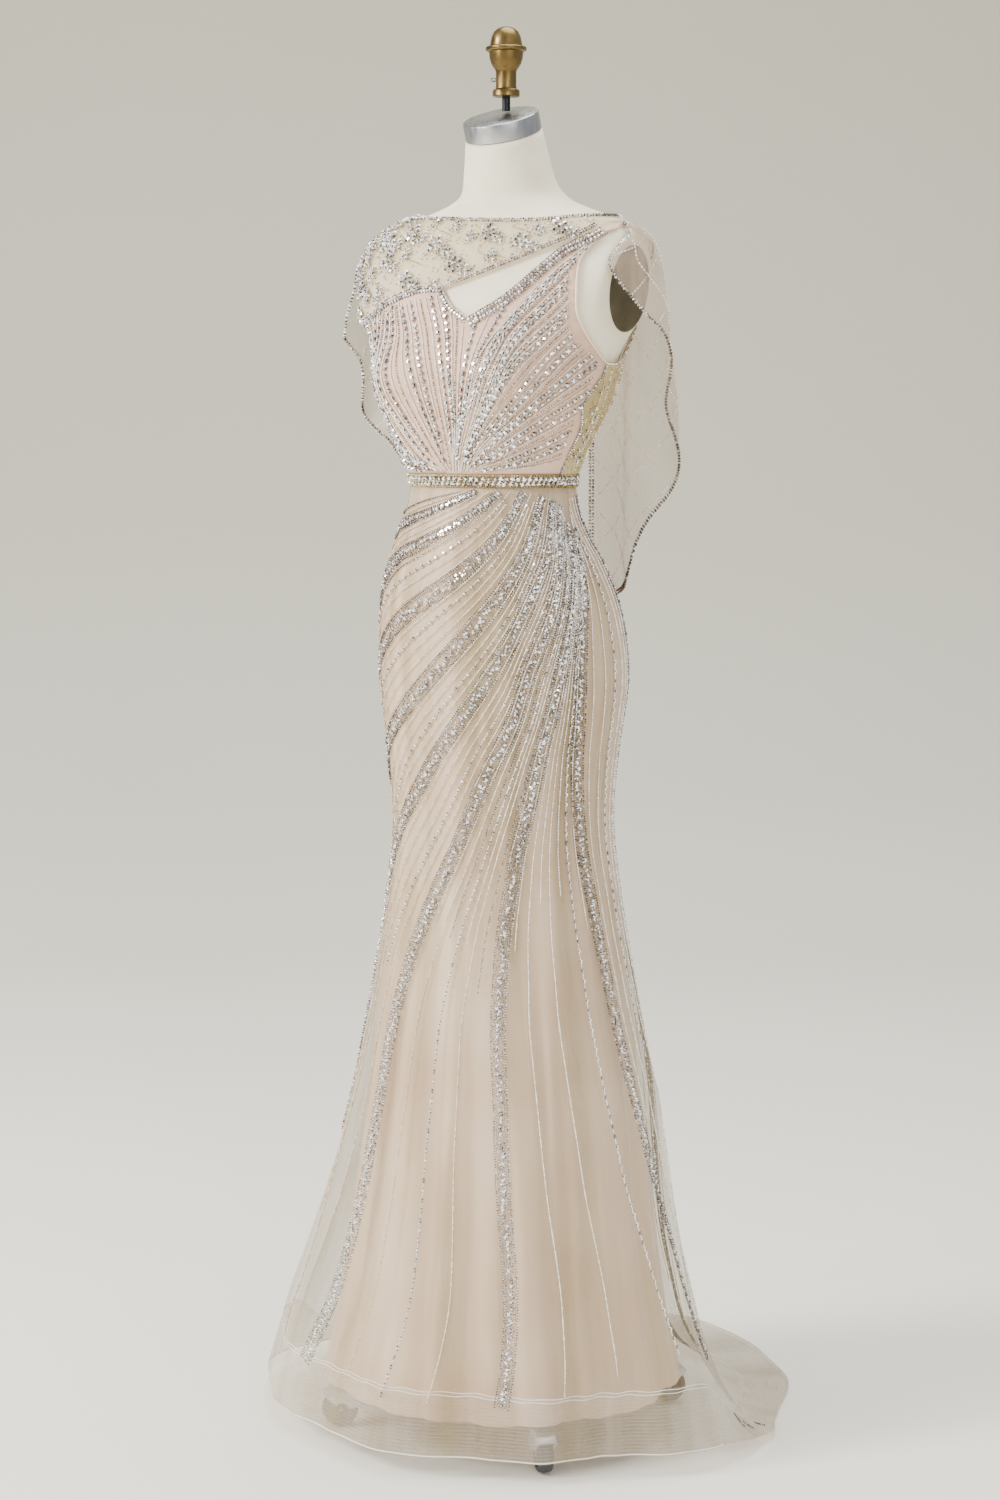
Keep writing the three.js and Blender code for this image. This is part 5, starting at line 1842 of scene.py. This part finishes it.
@dataclass
class UpperGown:
    """Bodice, yoke, belt and capes, and the bindings on their edges."""

    pleat: float = 5.6
    pleat_rise: float = 2.4

    def build(self) -> None:
        """Builds the cloth above the waist."""
        mirror = tuple((-a, l) for a, l in SIDE_SEAM)
        front = outline(
            ((-78, 1198.3), (78, 1198.3)), SIDE_SEAM, back(ARMHOLE), ((90, 1490), (90, 1494.5)),
            back(NECK_BAND), back(NECK_NOTCH), back(YOKE_SEAM), ((-72, 1380), (-78, 1362), (-87, 1330)),
            back(mirror)
        )
        cloth_panel("bodice_front", front, "nude", wall=0.7)
        side = outline(((78, 1198.3), (118, 1198.3)), BACK_SEAM, SIDE_TOP, back(SIDE_SEAM))
        cloth_panel("bodice_side_left", side, "panel", self.pleats, 3.0)
        cloth_panel("bodice_side_right", flip(side), "panel", self.pleats, 3.0)
        rear = outline(
            ((118, 1198.3), (180, 1198.3)), ((180, 1198.3), (180, 1412)), back(BACK_TOP), back(BACK_SEAM)
        )
        cloth_panel("bodice_back_left", rear, "blush", wall=0.7)
        cloth_panel("bodice_back_right", flip(rear), "blush", wall=0.7)
        yoke = outline(
            YOKE_SIDE, YOKE_SEAM, YOKE_LOW, ((90, 1496), (90, 1499.5)), back(YOKE_TOP),
            ((-90, 1499), (-90, 1440))
        )
        cloth_panel("yoke_front", yoke, "sheer", self.flower_rise, 4.0)
        rear_yoke = outline(
            BACK_YOKE_LOW, ((180, 1412), (180, 1500)), BACK_YOKE_TOP, ((90, 1499.5), (90, 1484))
        )
        cloth_panel("yoke_back_left", rear_yoke, "sheer")
        cloth_panel("yoke_back_right", flip(rear_yoke), "sheer")
        self.belt()
        self.capes()
        self.bindings()
        LOG.info("upper gown")

    def pleats(self, angle: Array, level: Array) -> Array:
        """Height of the pleats of either side panel.

        Args:
            angle: degrees towards the wearer's left.
            level: height in millimetres.

        Returns:
            Heights in millimetres.
        """
        turn = np.abs(angle) - 78 + (level - 1198) * 0.02
        return self.pleat_rise * (0.5 + 0.5 * np.cos(2 * np.pi * turn / self.pleat))

    def flower_rise(self, angle: Array, level: Array) -> Array:
        """Height of the raised flowers of the yoke.

        Args:
            angle: degrees towards the wearer's left.
            level: height in millimetres.

        Returns:
            Heights in millimetres.
        """
        total = np.zeros_like(angle)
        for a, l in FLOWERS:
            total = np.maximum(total, 1.4 * np.exp(-(((angle - a) / 7) ** 2) - ((level - l) / 14) ** 2))
        return total

    def belt(self) -> None:
        """Waistband all the way round."""
        angles, levels = np.arange(-180, 180, 3.0), np.array([1181.4, 1182.4, 1189.5, 1196.8, 1197.8])
        a, l = np.meshgrid(angles, levels)
        lift = np.array([3.4, 4.4, 4.9, 4.4, 3.4])[:, None] + 0 * a
        points = body(a.ravel(), l.ravel(), lift.ravel()).reshape(len(levels), -1, 3)
        piece = mesh_object(
            "waistband", points.reshape(-1, 3), grid_faces(*points.shape[:2], True),
            flat_map(points).reshape(-1, 2)
        )
        dress(piece, "band", "root")
        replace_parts(piece, "belt")

    def capes(self) -> None:
        """Two sheer half capes that fall from the shoulders."""
        for name, cape in CAPES.items():
            s, t = np.meshgrid(np.linspace(0, 1, 181), np.linspace(1, 0, 61))
            points = cape.surface(s.ravel(), t.ravel()).reshape(*s.shape, 3)
            faces = grid_faces(*s.shape)
            if cape.side < 0:
                faces = [tuple(reversed(f)) for f in faces]
            piece = mesh_object(
                f"cape_{name}_cloth", points.reshape(-1, 3), faces, flat_map(points).reshape(-1, 2)
            )
            dress(piece, "cape", "root")
            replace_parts(piece, f"cape_{name}")
            size, area = sheet_size(points)
            area = min(max(area, 0.31 * size[0] * size[1]), size[0] * size[1])

    def bindings(self) -> None:
        """Narrow bindings on the armhole, neckline and yoke edges."""
        for name, edge, width in (
            ("armhole", ARMHOLE[1:], 3.0),
            ("neckline", NECK_BAND[:-1], 2.2),
            ("notch", NECK_NOTCH, 2.2),
            ("yoke_top", YOKE_TOP, 2.6),
            ("yoke_low", YOKE_LOW[:-1], 2.2),
            ("yoke_seam", YOKE_SEAM, 2.2),
        ):
            ribbon(f"binding_{name}", on_form, curve_through(edge, 120), width, "blush", 0.3)


@dataclass
class Skirt:
    """Lining, tulle overskirt with its train, and horsehair braid."""

    parts: tuple[tuple[str, float, float], ...] = (
        ("front", -90.0, 90.0), ("back_left", 90.0, 180.0), ("back_right", -180.0, -90.0)
    )
    step: float = 1.5

    def build(self) -> None:
        """Builds the three panels of each layer."""
        upper = np.arange(1181, 640, -14.0)
        lining = np.concatenate([upper, np.arange(636, 62, -13.0), [62.0]])
        overlay = np.concatenate([upper, np.arange(636, 66, -12.0), np.arange(62, 24, -6.2)])
        braid = np.arange(104, 24.9, -7.9)
        for part, first, last in self.parts:
            over = f"overlay_{part}"
            self.layer(
                f"lining_{part}", underskirt, first, last, lining, "blush", "blush_lining", "form_torso",
                0.7
            )
            self.layer(over, overskirt, first, last, overlay, "tulle", "skirt_tulle", f"lining_{part}_cloth")
            self.layer(
                f"braid_{part}", inner_skirt, first, last, braid, "braid", "horsehair_braid",
                f"{over}_cloth"
            )
            path = np.linspace(first + 0.1, last - 0.1, 160)
            for k, level in enumerate((103.0, 99.0)):
                places = np.column_stack([path, level + 0.8 * np.sin(path * 0.7 + k)])
                ribbon(
                    f"stitch_{part}_{k}", overskirt, places, 1.0 if part == "front" else 0.5, "thread",
                    0.3
                )
            edge = np.column_stack([path, np.full_like(path, 27.0)])
            ribbon(
                f"hem_edge_{part}", overskirt, edge, 1.7, "thread" if part == "front" else "tape",
                0.2
            )
        LOG.info("skirt")

    def layer(
        self, name: str, surface: Surface, first: float, last: float, levels: Array, look: str, slot: str,
        on: str, wall: float = 0.0
    ) -> None:
        """One panel of a layer.

        Args:
            name: the solid that it stands for.
            surface: its form.
            first: first angle.
            last: last angle.
            levels: heights of its rows, from the top down.
            look: its finish.
            slot: name of a material slot, not used.
            on: what it hangs on, not used.
            wall: thickness in millimetres, or 0 for a single net layer.
        """
        angles = np.linspace(first + 0.07, last - 0.07, int((last - first) / self.step) + 1)
        a, l = np.meshgrid(angles, levels[::-1])
        points = surface(a.ravel(), l.ravel(), 0.0).reshape(*a.shape, 3)
        piece = mesh_object(
            f"{name}_cloth", points.reshape(-1, 3), grid_faces(*a.shape), flat_map(points).reshape(-1, 2)
        )
        if wall:
            solidify(piece, wall)
        dress(piece, look, "root")
        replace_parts(piece, name)


@dataclass
class Zip:
    """Zip at the centre back, with its slider and pull tab."""

    top: float = 1494.0
    bottom: float = 1010.0

    def build(self) -> None:
        """Builds the tape with its teeth, and gives the slider and the pull their finish."""
        levels = np.linspace(self.top, self.bottom, 90)
        lift = np.where(levels < 1181, 6.9, np.where(levels < 1199, 5.6, 5.0))
        rows = []
        for x, h in ((-3, 0.0), (-2.6, 0.7), (-0.4, 0.9), (0, 0.5), (0.4, 0.9), (2.6, 0.7), (3, 0.0)):
            p = body(np.full_like(levels, 180.0), levels, lift + h)
            p[:, 0] = AXIS[0] - x * MM
            rows.append(p)
        points = np.stack(rows)
        piece = mesh_object(
            "zip_tape_cloth", points.reshape(-1, 3), grid_faces(*points.shape[:2]),
            flat_map(points).reshape(-1, 2)
        )
        dress(piece, "tape", "root")
        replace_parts(piece, "zip_tape")
        for name in ("zip_slider", "zip_pull"):
            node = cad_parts[name]
            node.data.materials.clear()
            node.data.materials.append(finish("steel"))
        LOG.info("zip")


@dataclass
class Beading:
    """Crystals, chains and bead strings over the cloth."""

    seed: int = 11
    lattice: float = 62.0
    groups: dict[str, Beads] = field(default_factory=dict)

    def of(self, name: str) -> Beads:
        """The named group of stones, made the first time."""
        return self.groups.setdefault(name, Beads())

    def build(self) -> None:
        """Places every stone, then sets them."""
        self.rng = np.random.default_rng(self.seed)
        self.skirt()
        self.bodice()
        self.yoke()
        self.belt()
        self.capes()
        self.set_stones()

    def ray(self, first: Array, second: Array, share: float, start: float, end: float) -> Array:
        """Path between two key rays, over part of their length.

        Args:
            first: one key ray.
            second: the next.
            share: how far the path lies towards the second.
            start: where it starts, as a share of its length.
            end: where it ends.

        Returns:
            The path.
        """
        path = first * (1 - share) + second * share
        n = len(path)
        return path[int(start * n) : max(int(min(end, 1.0) * n), 2)]

    def string(self, where: str, surface: Surface, path: Array, kind: str) -> None:
        """Lays one bead string, chain or row of crystals.

        Args:
            where: first word of its groups.
            surface: the cloth under it.
            path: places along it.
            kind: white, grey or stones.
        """
        if kind == "white":
            self.of(f"{where}_strings").line(surface, path, 3.7, 2.15, 1.1)
        elif kind == "grey":
            self.of(f"{where}_chains").line(surface, path, 3.0, 2.8, 1.2)
        else:
            self.of(f"{where}_strings").line(surface, path, 3.7, 2.1, 1.0)
            self.of(f"{where}_navettes").line(surface, path[6:], 12.0, 4.8, 1.6)

    def band(self, path: Array, half: float, where: str) -> None:
        """Wide band: crystals and small beads between two chains.

        Args:
            path: places along its middle.
            half: its half width in millimetres.
            where: first word of its groups.
        """

        def width(run: Array) -> Array:
            """Half width of the band along its run, narrow at the waist."""
            return half * (0.42 + 0.58 * ease(run / 170))

        for side in (-1, 1):

            def outer(run: Array, side: int = side) -> Array:
                """Place of the chain beside the middle."""
                return side * width(run)

            def inner(run: Array, side: int = side) -> Array:
                """Place of the small beads inside the chain."""
                return side * (width(run) - 2.8)

            self.of(f"{where}_chains").line(overskirt, path, 3.2, 3.1, 1.4, outer)
            self.of(f"{where}_fill").line(overskirt, path, 2.6, 2.0, 1.0, inner)
        p = overskirt(path[:, 0], path[:, 1], 0.0)
        run = np.concatenate([[0], np.cumsum(np.linalg.norm(np.diff(p, axis=0), axis=1))]) / MM
        for group, gap, across, size, out in (
            ("crystals", 6.4, 0.3, (4.2, 5.6), 1.8),
            ("crystals", 5.4, 0.55, (2.6, 3.6), 1.4),
            ("navettes", 14.0, 0.3, (4.4, 5.4), 2.0),
            ("fill", 1.3, 0.72, (1.8, 2.4), 1.0),
        ):
            at = np.arange(3, run[-1], gap)
            at = np.sort(np.clip(at + self.rng.uniform(-0.3, 0.3, len(at)) * gap, 0, run[-1]))
            aside = self.rng.uniform(-1, 1, len(at)) * across * width(at)
            a, b = np.interp(at, run, path[:, 0]), np.interp(at, run, path[:, 1])
            sizes = self.rng.uniform(*size, len(at))
            self.of(f"{where}_{group}").scatter(overskirt, a, b, sizes, out, aside, path)

    def skirt(self) -> None:
        """Bands and strings of the skirt fan, all the way round."""
        keys = [curve_through(FAN[name], 260) for name in FAN_ORDER]
        mirror = np.array([-1, 1])
        for name, path in zip(FAN_ORDER, keys):
            if name in BAND_HALF:
                behind = name.startswith("back")
                self.band(path, BAND_HALF[name], "train" if behind else "skirt")
                if behind:
                    self.band(path * mirror, BAND_HALF[name], "train")
        for first, share, start, end, kind in STRINGS:
            where = "train" if first >= 8 else "skirt"
            path = self.ray(keys[first], keys[min(first + 1, len(keys) - 1)], share, start, end)
            self.string(where, overskirt, path, kind)
            if first >= 9:
                self.string(where, overskirt, path * mirror, kind)
        for nodes in LONE_STRINGS:
            self.string("skirt", overskirt, curve_through(nodes, 120), "white")
        for nodes in TRAIN_ENDS:
            self.string("train", overskirt, curve_through(nodes, 40), "grey")

    def bodice(self) -> None:
        """Rays of beading that spread from the front of the waist."""
        keys = [curve_through(nodes, 140) for nodes in BODICE_RAYS]
        kinds = ("stones", "white", "big", "white", "grey", "white")
        late = (0.0, 0.22, 0.1, 0.3)
        count = 0
        for k, between in enumerate(BETWEEN_RAYS):
            for n in range(between):
                path = self.ray(keys[k], keys[k + 1], n / between, late[n % 4], 0.985)
                kind = kinds[count % len(kinds)]
                count += 1
                if kind == "white":
                    self.of("bodice_strings").line(on_form, path, 3.4, 2.4, 1.1)
                elif kind == "grey":
                    self.of("bodice_chains").line(on_form, path, 2.9, 2.6, 1.1)
                elif kind == "big":
                    self.of("bodice_fill").line(on_form, path, 2.6, 2.1, 1.0)
                    self.of("bodice_crystals").line(on_form, path[8:], 9.2, 6.2, 1.9)
                else:
                    self.of("bodice_strings").line(on_form, path, 3.4, 2.2, 1.0)
                    self.of("bodice_navettes").line(on_form, path[6:], 9.6, 6.0, 1.9)
        for edge, rows in (
            (NECK_BAND[:-1], (3.0, 6.0, 9.2, 12.4)), (NECK_NOTCH, (3.0, 6.0)), (YOKE_SEAM, (3.2,))
        ):
            path = curve_through(edge, 160)
            self.of("bodice_chains").line(on_form, path, 3.1, 3.0, 1.5, 0.4)
            for k, aside in enumerate(rows):
                if k % 2:
                    self.of("bodice_chains").line(on_form, path, 3.0, 2.8, 1.4, -aside)
                else:
                    self.of("bodice_crystals").line(on_form, path, 4.8, 4.4, 1.8, -aside)
        for seam, shift in ((SIDE_SEAM, 0.0), (BACK_SEAM, -1.5), (SIDE_TOP, 1.5)):
            self.of("bodice_chains").line(on_form, curve_through(seam, 120), 3.1, 2.9, 2.4, shift)
        for side in (1, -1):
            self.side_panel(np.array([side, 1]))

    def side_panel(self, mirror: Array) -> None:
        """Bead strings on the pleats of a sheer side panel, with sprays of long stones.

        Args:
            mirror: factors of angle and level, -1 and 1 on the wearer's right.
        """
        shape = outline(((78, 1198.3), (118, 1198.3)), BACK_SEAM, SIDE_TOP, back(SIDE_SEAM))
        levels = np.linspace(1203, 1372, 120)
        kinds = ("gold", "strings", "chains", "gold", "strings", "chains", "gold")
        for k, kind in enumerate(kinds, 1):
            path = np.column_stack([78 + 5.6 * k - 0.02 * (levels - 1198), levels])
            path = path[inside(shape, path)] * mirror
            if len(path) > 10:
                self.of(f"side_{kind}").line(on_form, path, 3.0, 2.3, 3.0)
        for a, l in ((86, 1296), (84, 1272), (88, 1262), (85, 1246), (90, 1238), (86, 1222), (92, 1214)):
            self.of("side_petals").scatter(
                on_form, np.array([a, a + 2.5]) * mirror[0], np.array([l, l + 6.0]), 5.2, 3.6
            )

    def flower(self, a: float, l: float, size: float, petals: int) -> None:
        """One flower: pointed petals round a crystal, with gold between them.

        Args:
            a: angle of its centre.
            l: level of its centre.
            size: length of a petal and more, in millimetres.
            petals: how many petals it has.
        """
        turn = 2 * np.pi * (np.arange(petals) / petals + self.rng.random())
        reach = size * 0.62
        aa, ll = a + reach * np.cos(turn) / 2.6, l + reach * np.sin(turn)
        group = self.of("yoke_petals")
        p = on_form(aa, ll, 3.0)
        centre = on_form(np.array([a]), np.array([l]), 3.0)
        group.scatter(on_form, aa, ll, size * 0.68, 3.1)
        group.along[-1] = unit(p - centre)
        self.of("yoke_crystals").scatter(on_form, np.array([a, a + 0.3]), np.array([l, l]), size * 0.5, 4.0)
        ring = turn + np.pi / petals
        self.of("yoke_gold").scatter(
            on_form, a + size * 0.9 * np.cos(ring) / 2.6, l + size * 0.9 * np.sin(ring), 2.2, 2.2
        )

    def yoke(self) -> None:
        """Flowers, vines and edge chains of the yoke."""
        for a, l in FLOWERS:
            self.flower(a, l, 11.0, 6)
            self.flower(a + 5, l - 8, 8.0, 5)
        for a, l in SMALL_FLOWERS:
            self.flower(a, l, 8.0, 5)
        shape = outline(
            YOKE_SIDE, YOKE_SEAM, YOKE_LOW, ((90, 1496), (90, 1499.5)), back(YOKE_TOP),
            ((-90, 1499), (-90, 1440))
        )
        places = np.column_stack([self.rng.uniform(-88, 62, 1500), self.rng.uniform(1384, 1503, 1500)])
        places = places[inside(shape, places)][:800]
        for a, l in places[(places[:, 0] < -36)][:38]:
            self.flower(a, l, 7.0, 5)
        self.of("yoke_gold").scatter(on_form, places[::2, 0], places[::2, 1], 1.9, 1.6)
        self.of("yoke_crystals").scatter(
            on_form, places[1::2, 0], places[1::2, 1], self.rng.uniform(1.8, 3.2, len(places[1::2])), 1.6
        )
        for k in range(9):
            start = -84 + 17 * k
            vine = ((start, 1494 - 4 * k % 9), (start + 8, 1478), (start + 5, 1460), (start + 16, 1446))
            path = curve_through(vine, 80)
            path = path[inside(shape, path)]
            if len(path) > 10:
                self.of("yoke_gold").line(on_form, path, 2.6, 2.2, 1.8)
        for edge, inward in ((YOKE_TOP, -3.4), (YOKE_LOW[:-1], 3.4), (YOKE_SEAM, 3.4), (YOKE_SIDE, 3.4)):
            path = curve_through(edge, 260)
            for aside in (0.0, inward):
                self.of("yoke_chains").line(on_form, path, 3.5, 3.6, 2.4, aside)
        for side in (1, -1):
            for edge in (BACK_YOKE_TOP, BACK_YOKE_LOW):
                self.of("yoke_chains").line(on_form, curve_through(edge, 160) * [side, 1], 3.2, 3.1, 2.0)

    def belt(self) -> None:
        """Crystals in gold settings all round the waist."""
        for level, first, low, high in (
            (1186.0, 0.0, 5.2, 6.6), (1193.2, 1.7, 5.2, 6.6), (1189.6, 0.8, 3.2, 4.2)
        ):
            a = np.arange(-177.6 + first, 177.6, 4.0)
            a = a + self.rng.uniform(-0.3, 0.3, len(a))
            l = level + self.rng.uniform(-0.7, 0.7, len(a))
            big = self.rng.random(len(a)) < 0.55
            size = self.rng.uniform(low, high, len(a))
            self.of("belt_crystals").scatter(on_form, a[big], l[big], size[big], 2.6)
            self.of("belt_petals").scatter(on_form, a[~big], l[~big], size[~big], 2.5)
        self.of("belt_gold").scatter(
            on_form, self.rng.uniform(-177, 177, 420), self.rng.uniform(1183.6, 1196, 420), 2.7, 2.2
        )
        around = np.linspace(-177.6, 177.6, 500)
        for level in (1182.2, 1189.6, 1197.2):
            self.of("belt_gold").line(
                on_form, np.column_stack([around, np.full_like(around, level)]), 3.2, 3.2, 2.2
            )

    def capes(self) -> None:
        """Chains on the edges of the capes and the lattice of bead lines."""
        one = np.linspace(0, 1, 700)
        for cape in CAPES.values():
            edge, chains = cape.surface, self.of("cape_chains")
            for inset in (0.004, 0.013):
                chains.line(edge, np.column_stack([one, np.full_like(one, 1 - inset)]), 4.2, 4.4, 0.5)
                for s in (inset * 0.9, 1 - inset * 0.9):
                    chains.line(edge, np.column_stack([np.full_like(one, s), one]), 4.2, 4.4, 0.5)
            level = edge(one, np.full_like(one, 0.6))
            along = np.concatenate(
                [[0], np.cumsum(np.linalg.norm(np.diff(level[:, :2], axis=0), axis=1))]
            ) / MM
            for way in (-1, 1):
                for start in np.arange(-560, along[-1] + 560, self.lattice):
                    t = way * (along - start) / (1492 - cape.hem_level(one))
                    keep = (t > 0.02) & (t < 0.985)
                    if keep.sum() > 12:
                        self.of("cape_lattice").line(edge, np.column_stack([one, t])[keep], 5.0, 2.2, 0.4)

    def set_stones(self) -> None:
        """Sets each group with its stone and finish."""
        for name, group in sorted(self.groups.items()):
            last = name.split("_")[-1]
            kind, look, jitter, twist = {
                "chains": (Stone.SEED, "grey_bead", 0.08, 0.8),
                "fill": (Stone.SEED, "grey_bead", 0.2, 0.8),
                "strings": (Stone.BUGLE, "white_bead", 0.12, 0.12),
                "lattice": (Stone.BUGLE, "white_bead", 0.12, 0.1),
                "navettes": (Stone.NAVETTE, "crystal", 0.12, 0.25),
                "petals": (Stone.NAVETTE, "crystal", 0.1, 0.1),
                "crystals": (Stone.ROUND, "crystal", 0.15, 1.5),
                "gold": (Stone.SEED, "gold_bead", 0.2, 0.8),
            }[last]
            piece = group.build(name, stone(kind), look, self.seed, jitter, twist)


@dataclass
class Studio:
    """Pale floor that curves up behind the gown, soft lamps and the camera."""

    azimuth: float = 0.57262
    distance: float = 3.59153
    height: float = 1.2602
    pitch: float = 0.11289
    yaw: float = 0.00209
    lens: float = 69.6

    def build(self) -> None:
        """Builds the studio."""
        self.floor()
        self.lamps()
        self.camera()
        LOG.info("studio")

    def floor(self) -> None:
        """Floor and wall in one sweep behind the object."""
        turn = self.azimuth
        ahead, across = np.array([-math.sin(turn), math.cos(turn)]), np.array(
            [math.cos(turn), math.sin(turn)]
        )
        bend = np.linspace(0, math.pi / 2, 24)
        run = [
            (-9.0, -0.002), (0.0, -0.002),
            *[(3.2 + 2.4 * math.sin(a), 2.4 - 2.402 * math.cos(a)) for a in bend], (5.6, 9.0)
        ]
        rows = [[(*(AXIS[:2] + ahead * d + across * w), z) for w in np.linspace(-9, 9, 9)] for d, z in run]
        points = np.array(rows, float)
        piece = mesh_object("studio_floor", points.reshape(-1, 3), grid_faces(*points.shape[:2]))
        piece.data.materials.append(finish("floor"))

    def lamps(self) -> None:
        """Soft area lamps and an even sky."""
        world = bpy.context.scene.world or bpy.data.worlds.new("world")
        bpy.context.scene.world = world
        world.use_nodes = True
        sky = world.node_tree.nodes["Background"]
        sky.inputs[0].default_value = (0.93, 0.96, 1.0, 1)
        sky.inputs[1].default_value = 0.72
        for name, place, size, power, colour in (
            ("key", (-2.6, -3.4, 3.0), 1.6, 350.0, (1.0, 0.97, 0.92)),
            ("fill", (3.6, -2.2, 2.0), 2.4, 40.0, (0.96, 0.98, 1.0)),
            ("top", (0.2, 0.4, 4.0), 2.6, 115.0, (1.0, 0.99, 0.96)),
            ("sparkle_left", (-1.2, -3.4, 1.6), 0.3, 26.0, (1.0, 1.0, 1.0)),
            ("sparkle_right", (2.6, -2.6, 2.6), 0.3, 26.0, (1.0, 1.0, 1.0)),
        ):
            lamp = bpy.data.lights.new(name, "AREA")
            lamp.shape = "DISK"
            lamp.size = size
            lamp.energy = power
            lamp.color = colour
            made = bpy.data.objects.new(name, lamp)
            made.location = Vector(place)
            made.rotation_euler = (Vector((0, 0, 0.9)) - Vector(place)).to_track_quat("-Z", "Y").to_euler()
            bpy.context.scene.collection.objects.link(made)

    def camera(self) -> None:
        """Camera where the photograph was taken from."""
        a, p = self.azimuth, self.pitch
        place = AXIS + [self.distance * math.sin(a), -self.distance * math.cos(a), self.height]
        b = a + self.yaw
        aim = Vector((-math.sin(b) * math.cos(p), math.cos(b) * math.cos(p), -math.sin(p)))
        data = bpy.data.cameras.new("camera")
        data.lens = self.lens
        made = bpy.data.objects.new("camera", data)
        made.location = Vector(place)
        made.rotation_euler = aim.to_track_quat("-Z", "Y").to_euler()
        bpy.context.scene.collection.objects.link(made)
        bpy.context.scene.camera = made


def main() -> None:
    """Builds the object and its studio, in order."""
    logging.basicConfig(level=logging.INFO, format="%(message)s")
    Studio().build()
    DressForm().build()
    Stand().build()
    UpperGown().build()
    Skirt().build()
    Zip().build()
    Beading().build()
    for prototype in _stones.values():
        bpy.data.objects.remove(prototype)


if __name__ == "__main__":
    main()
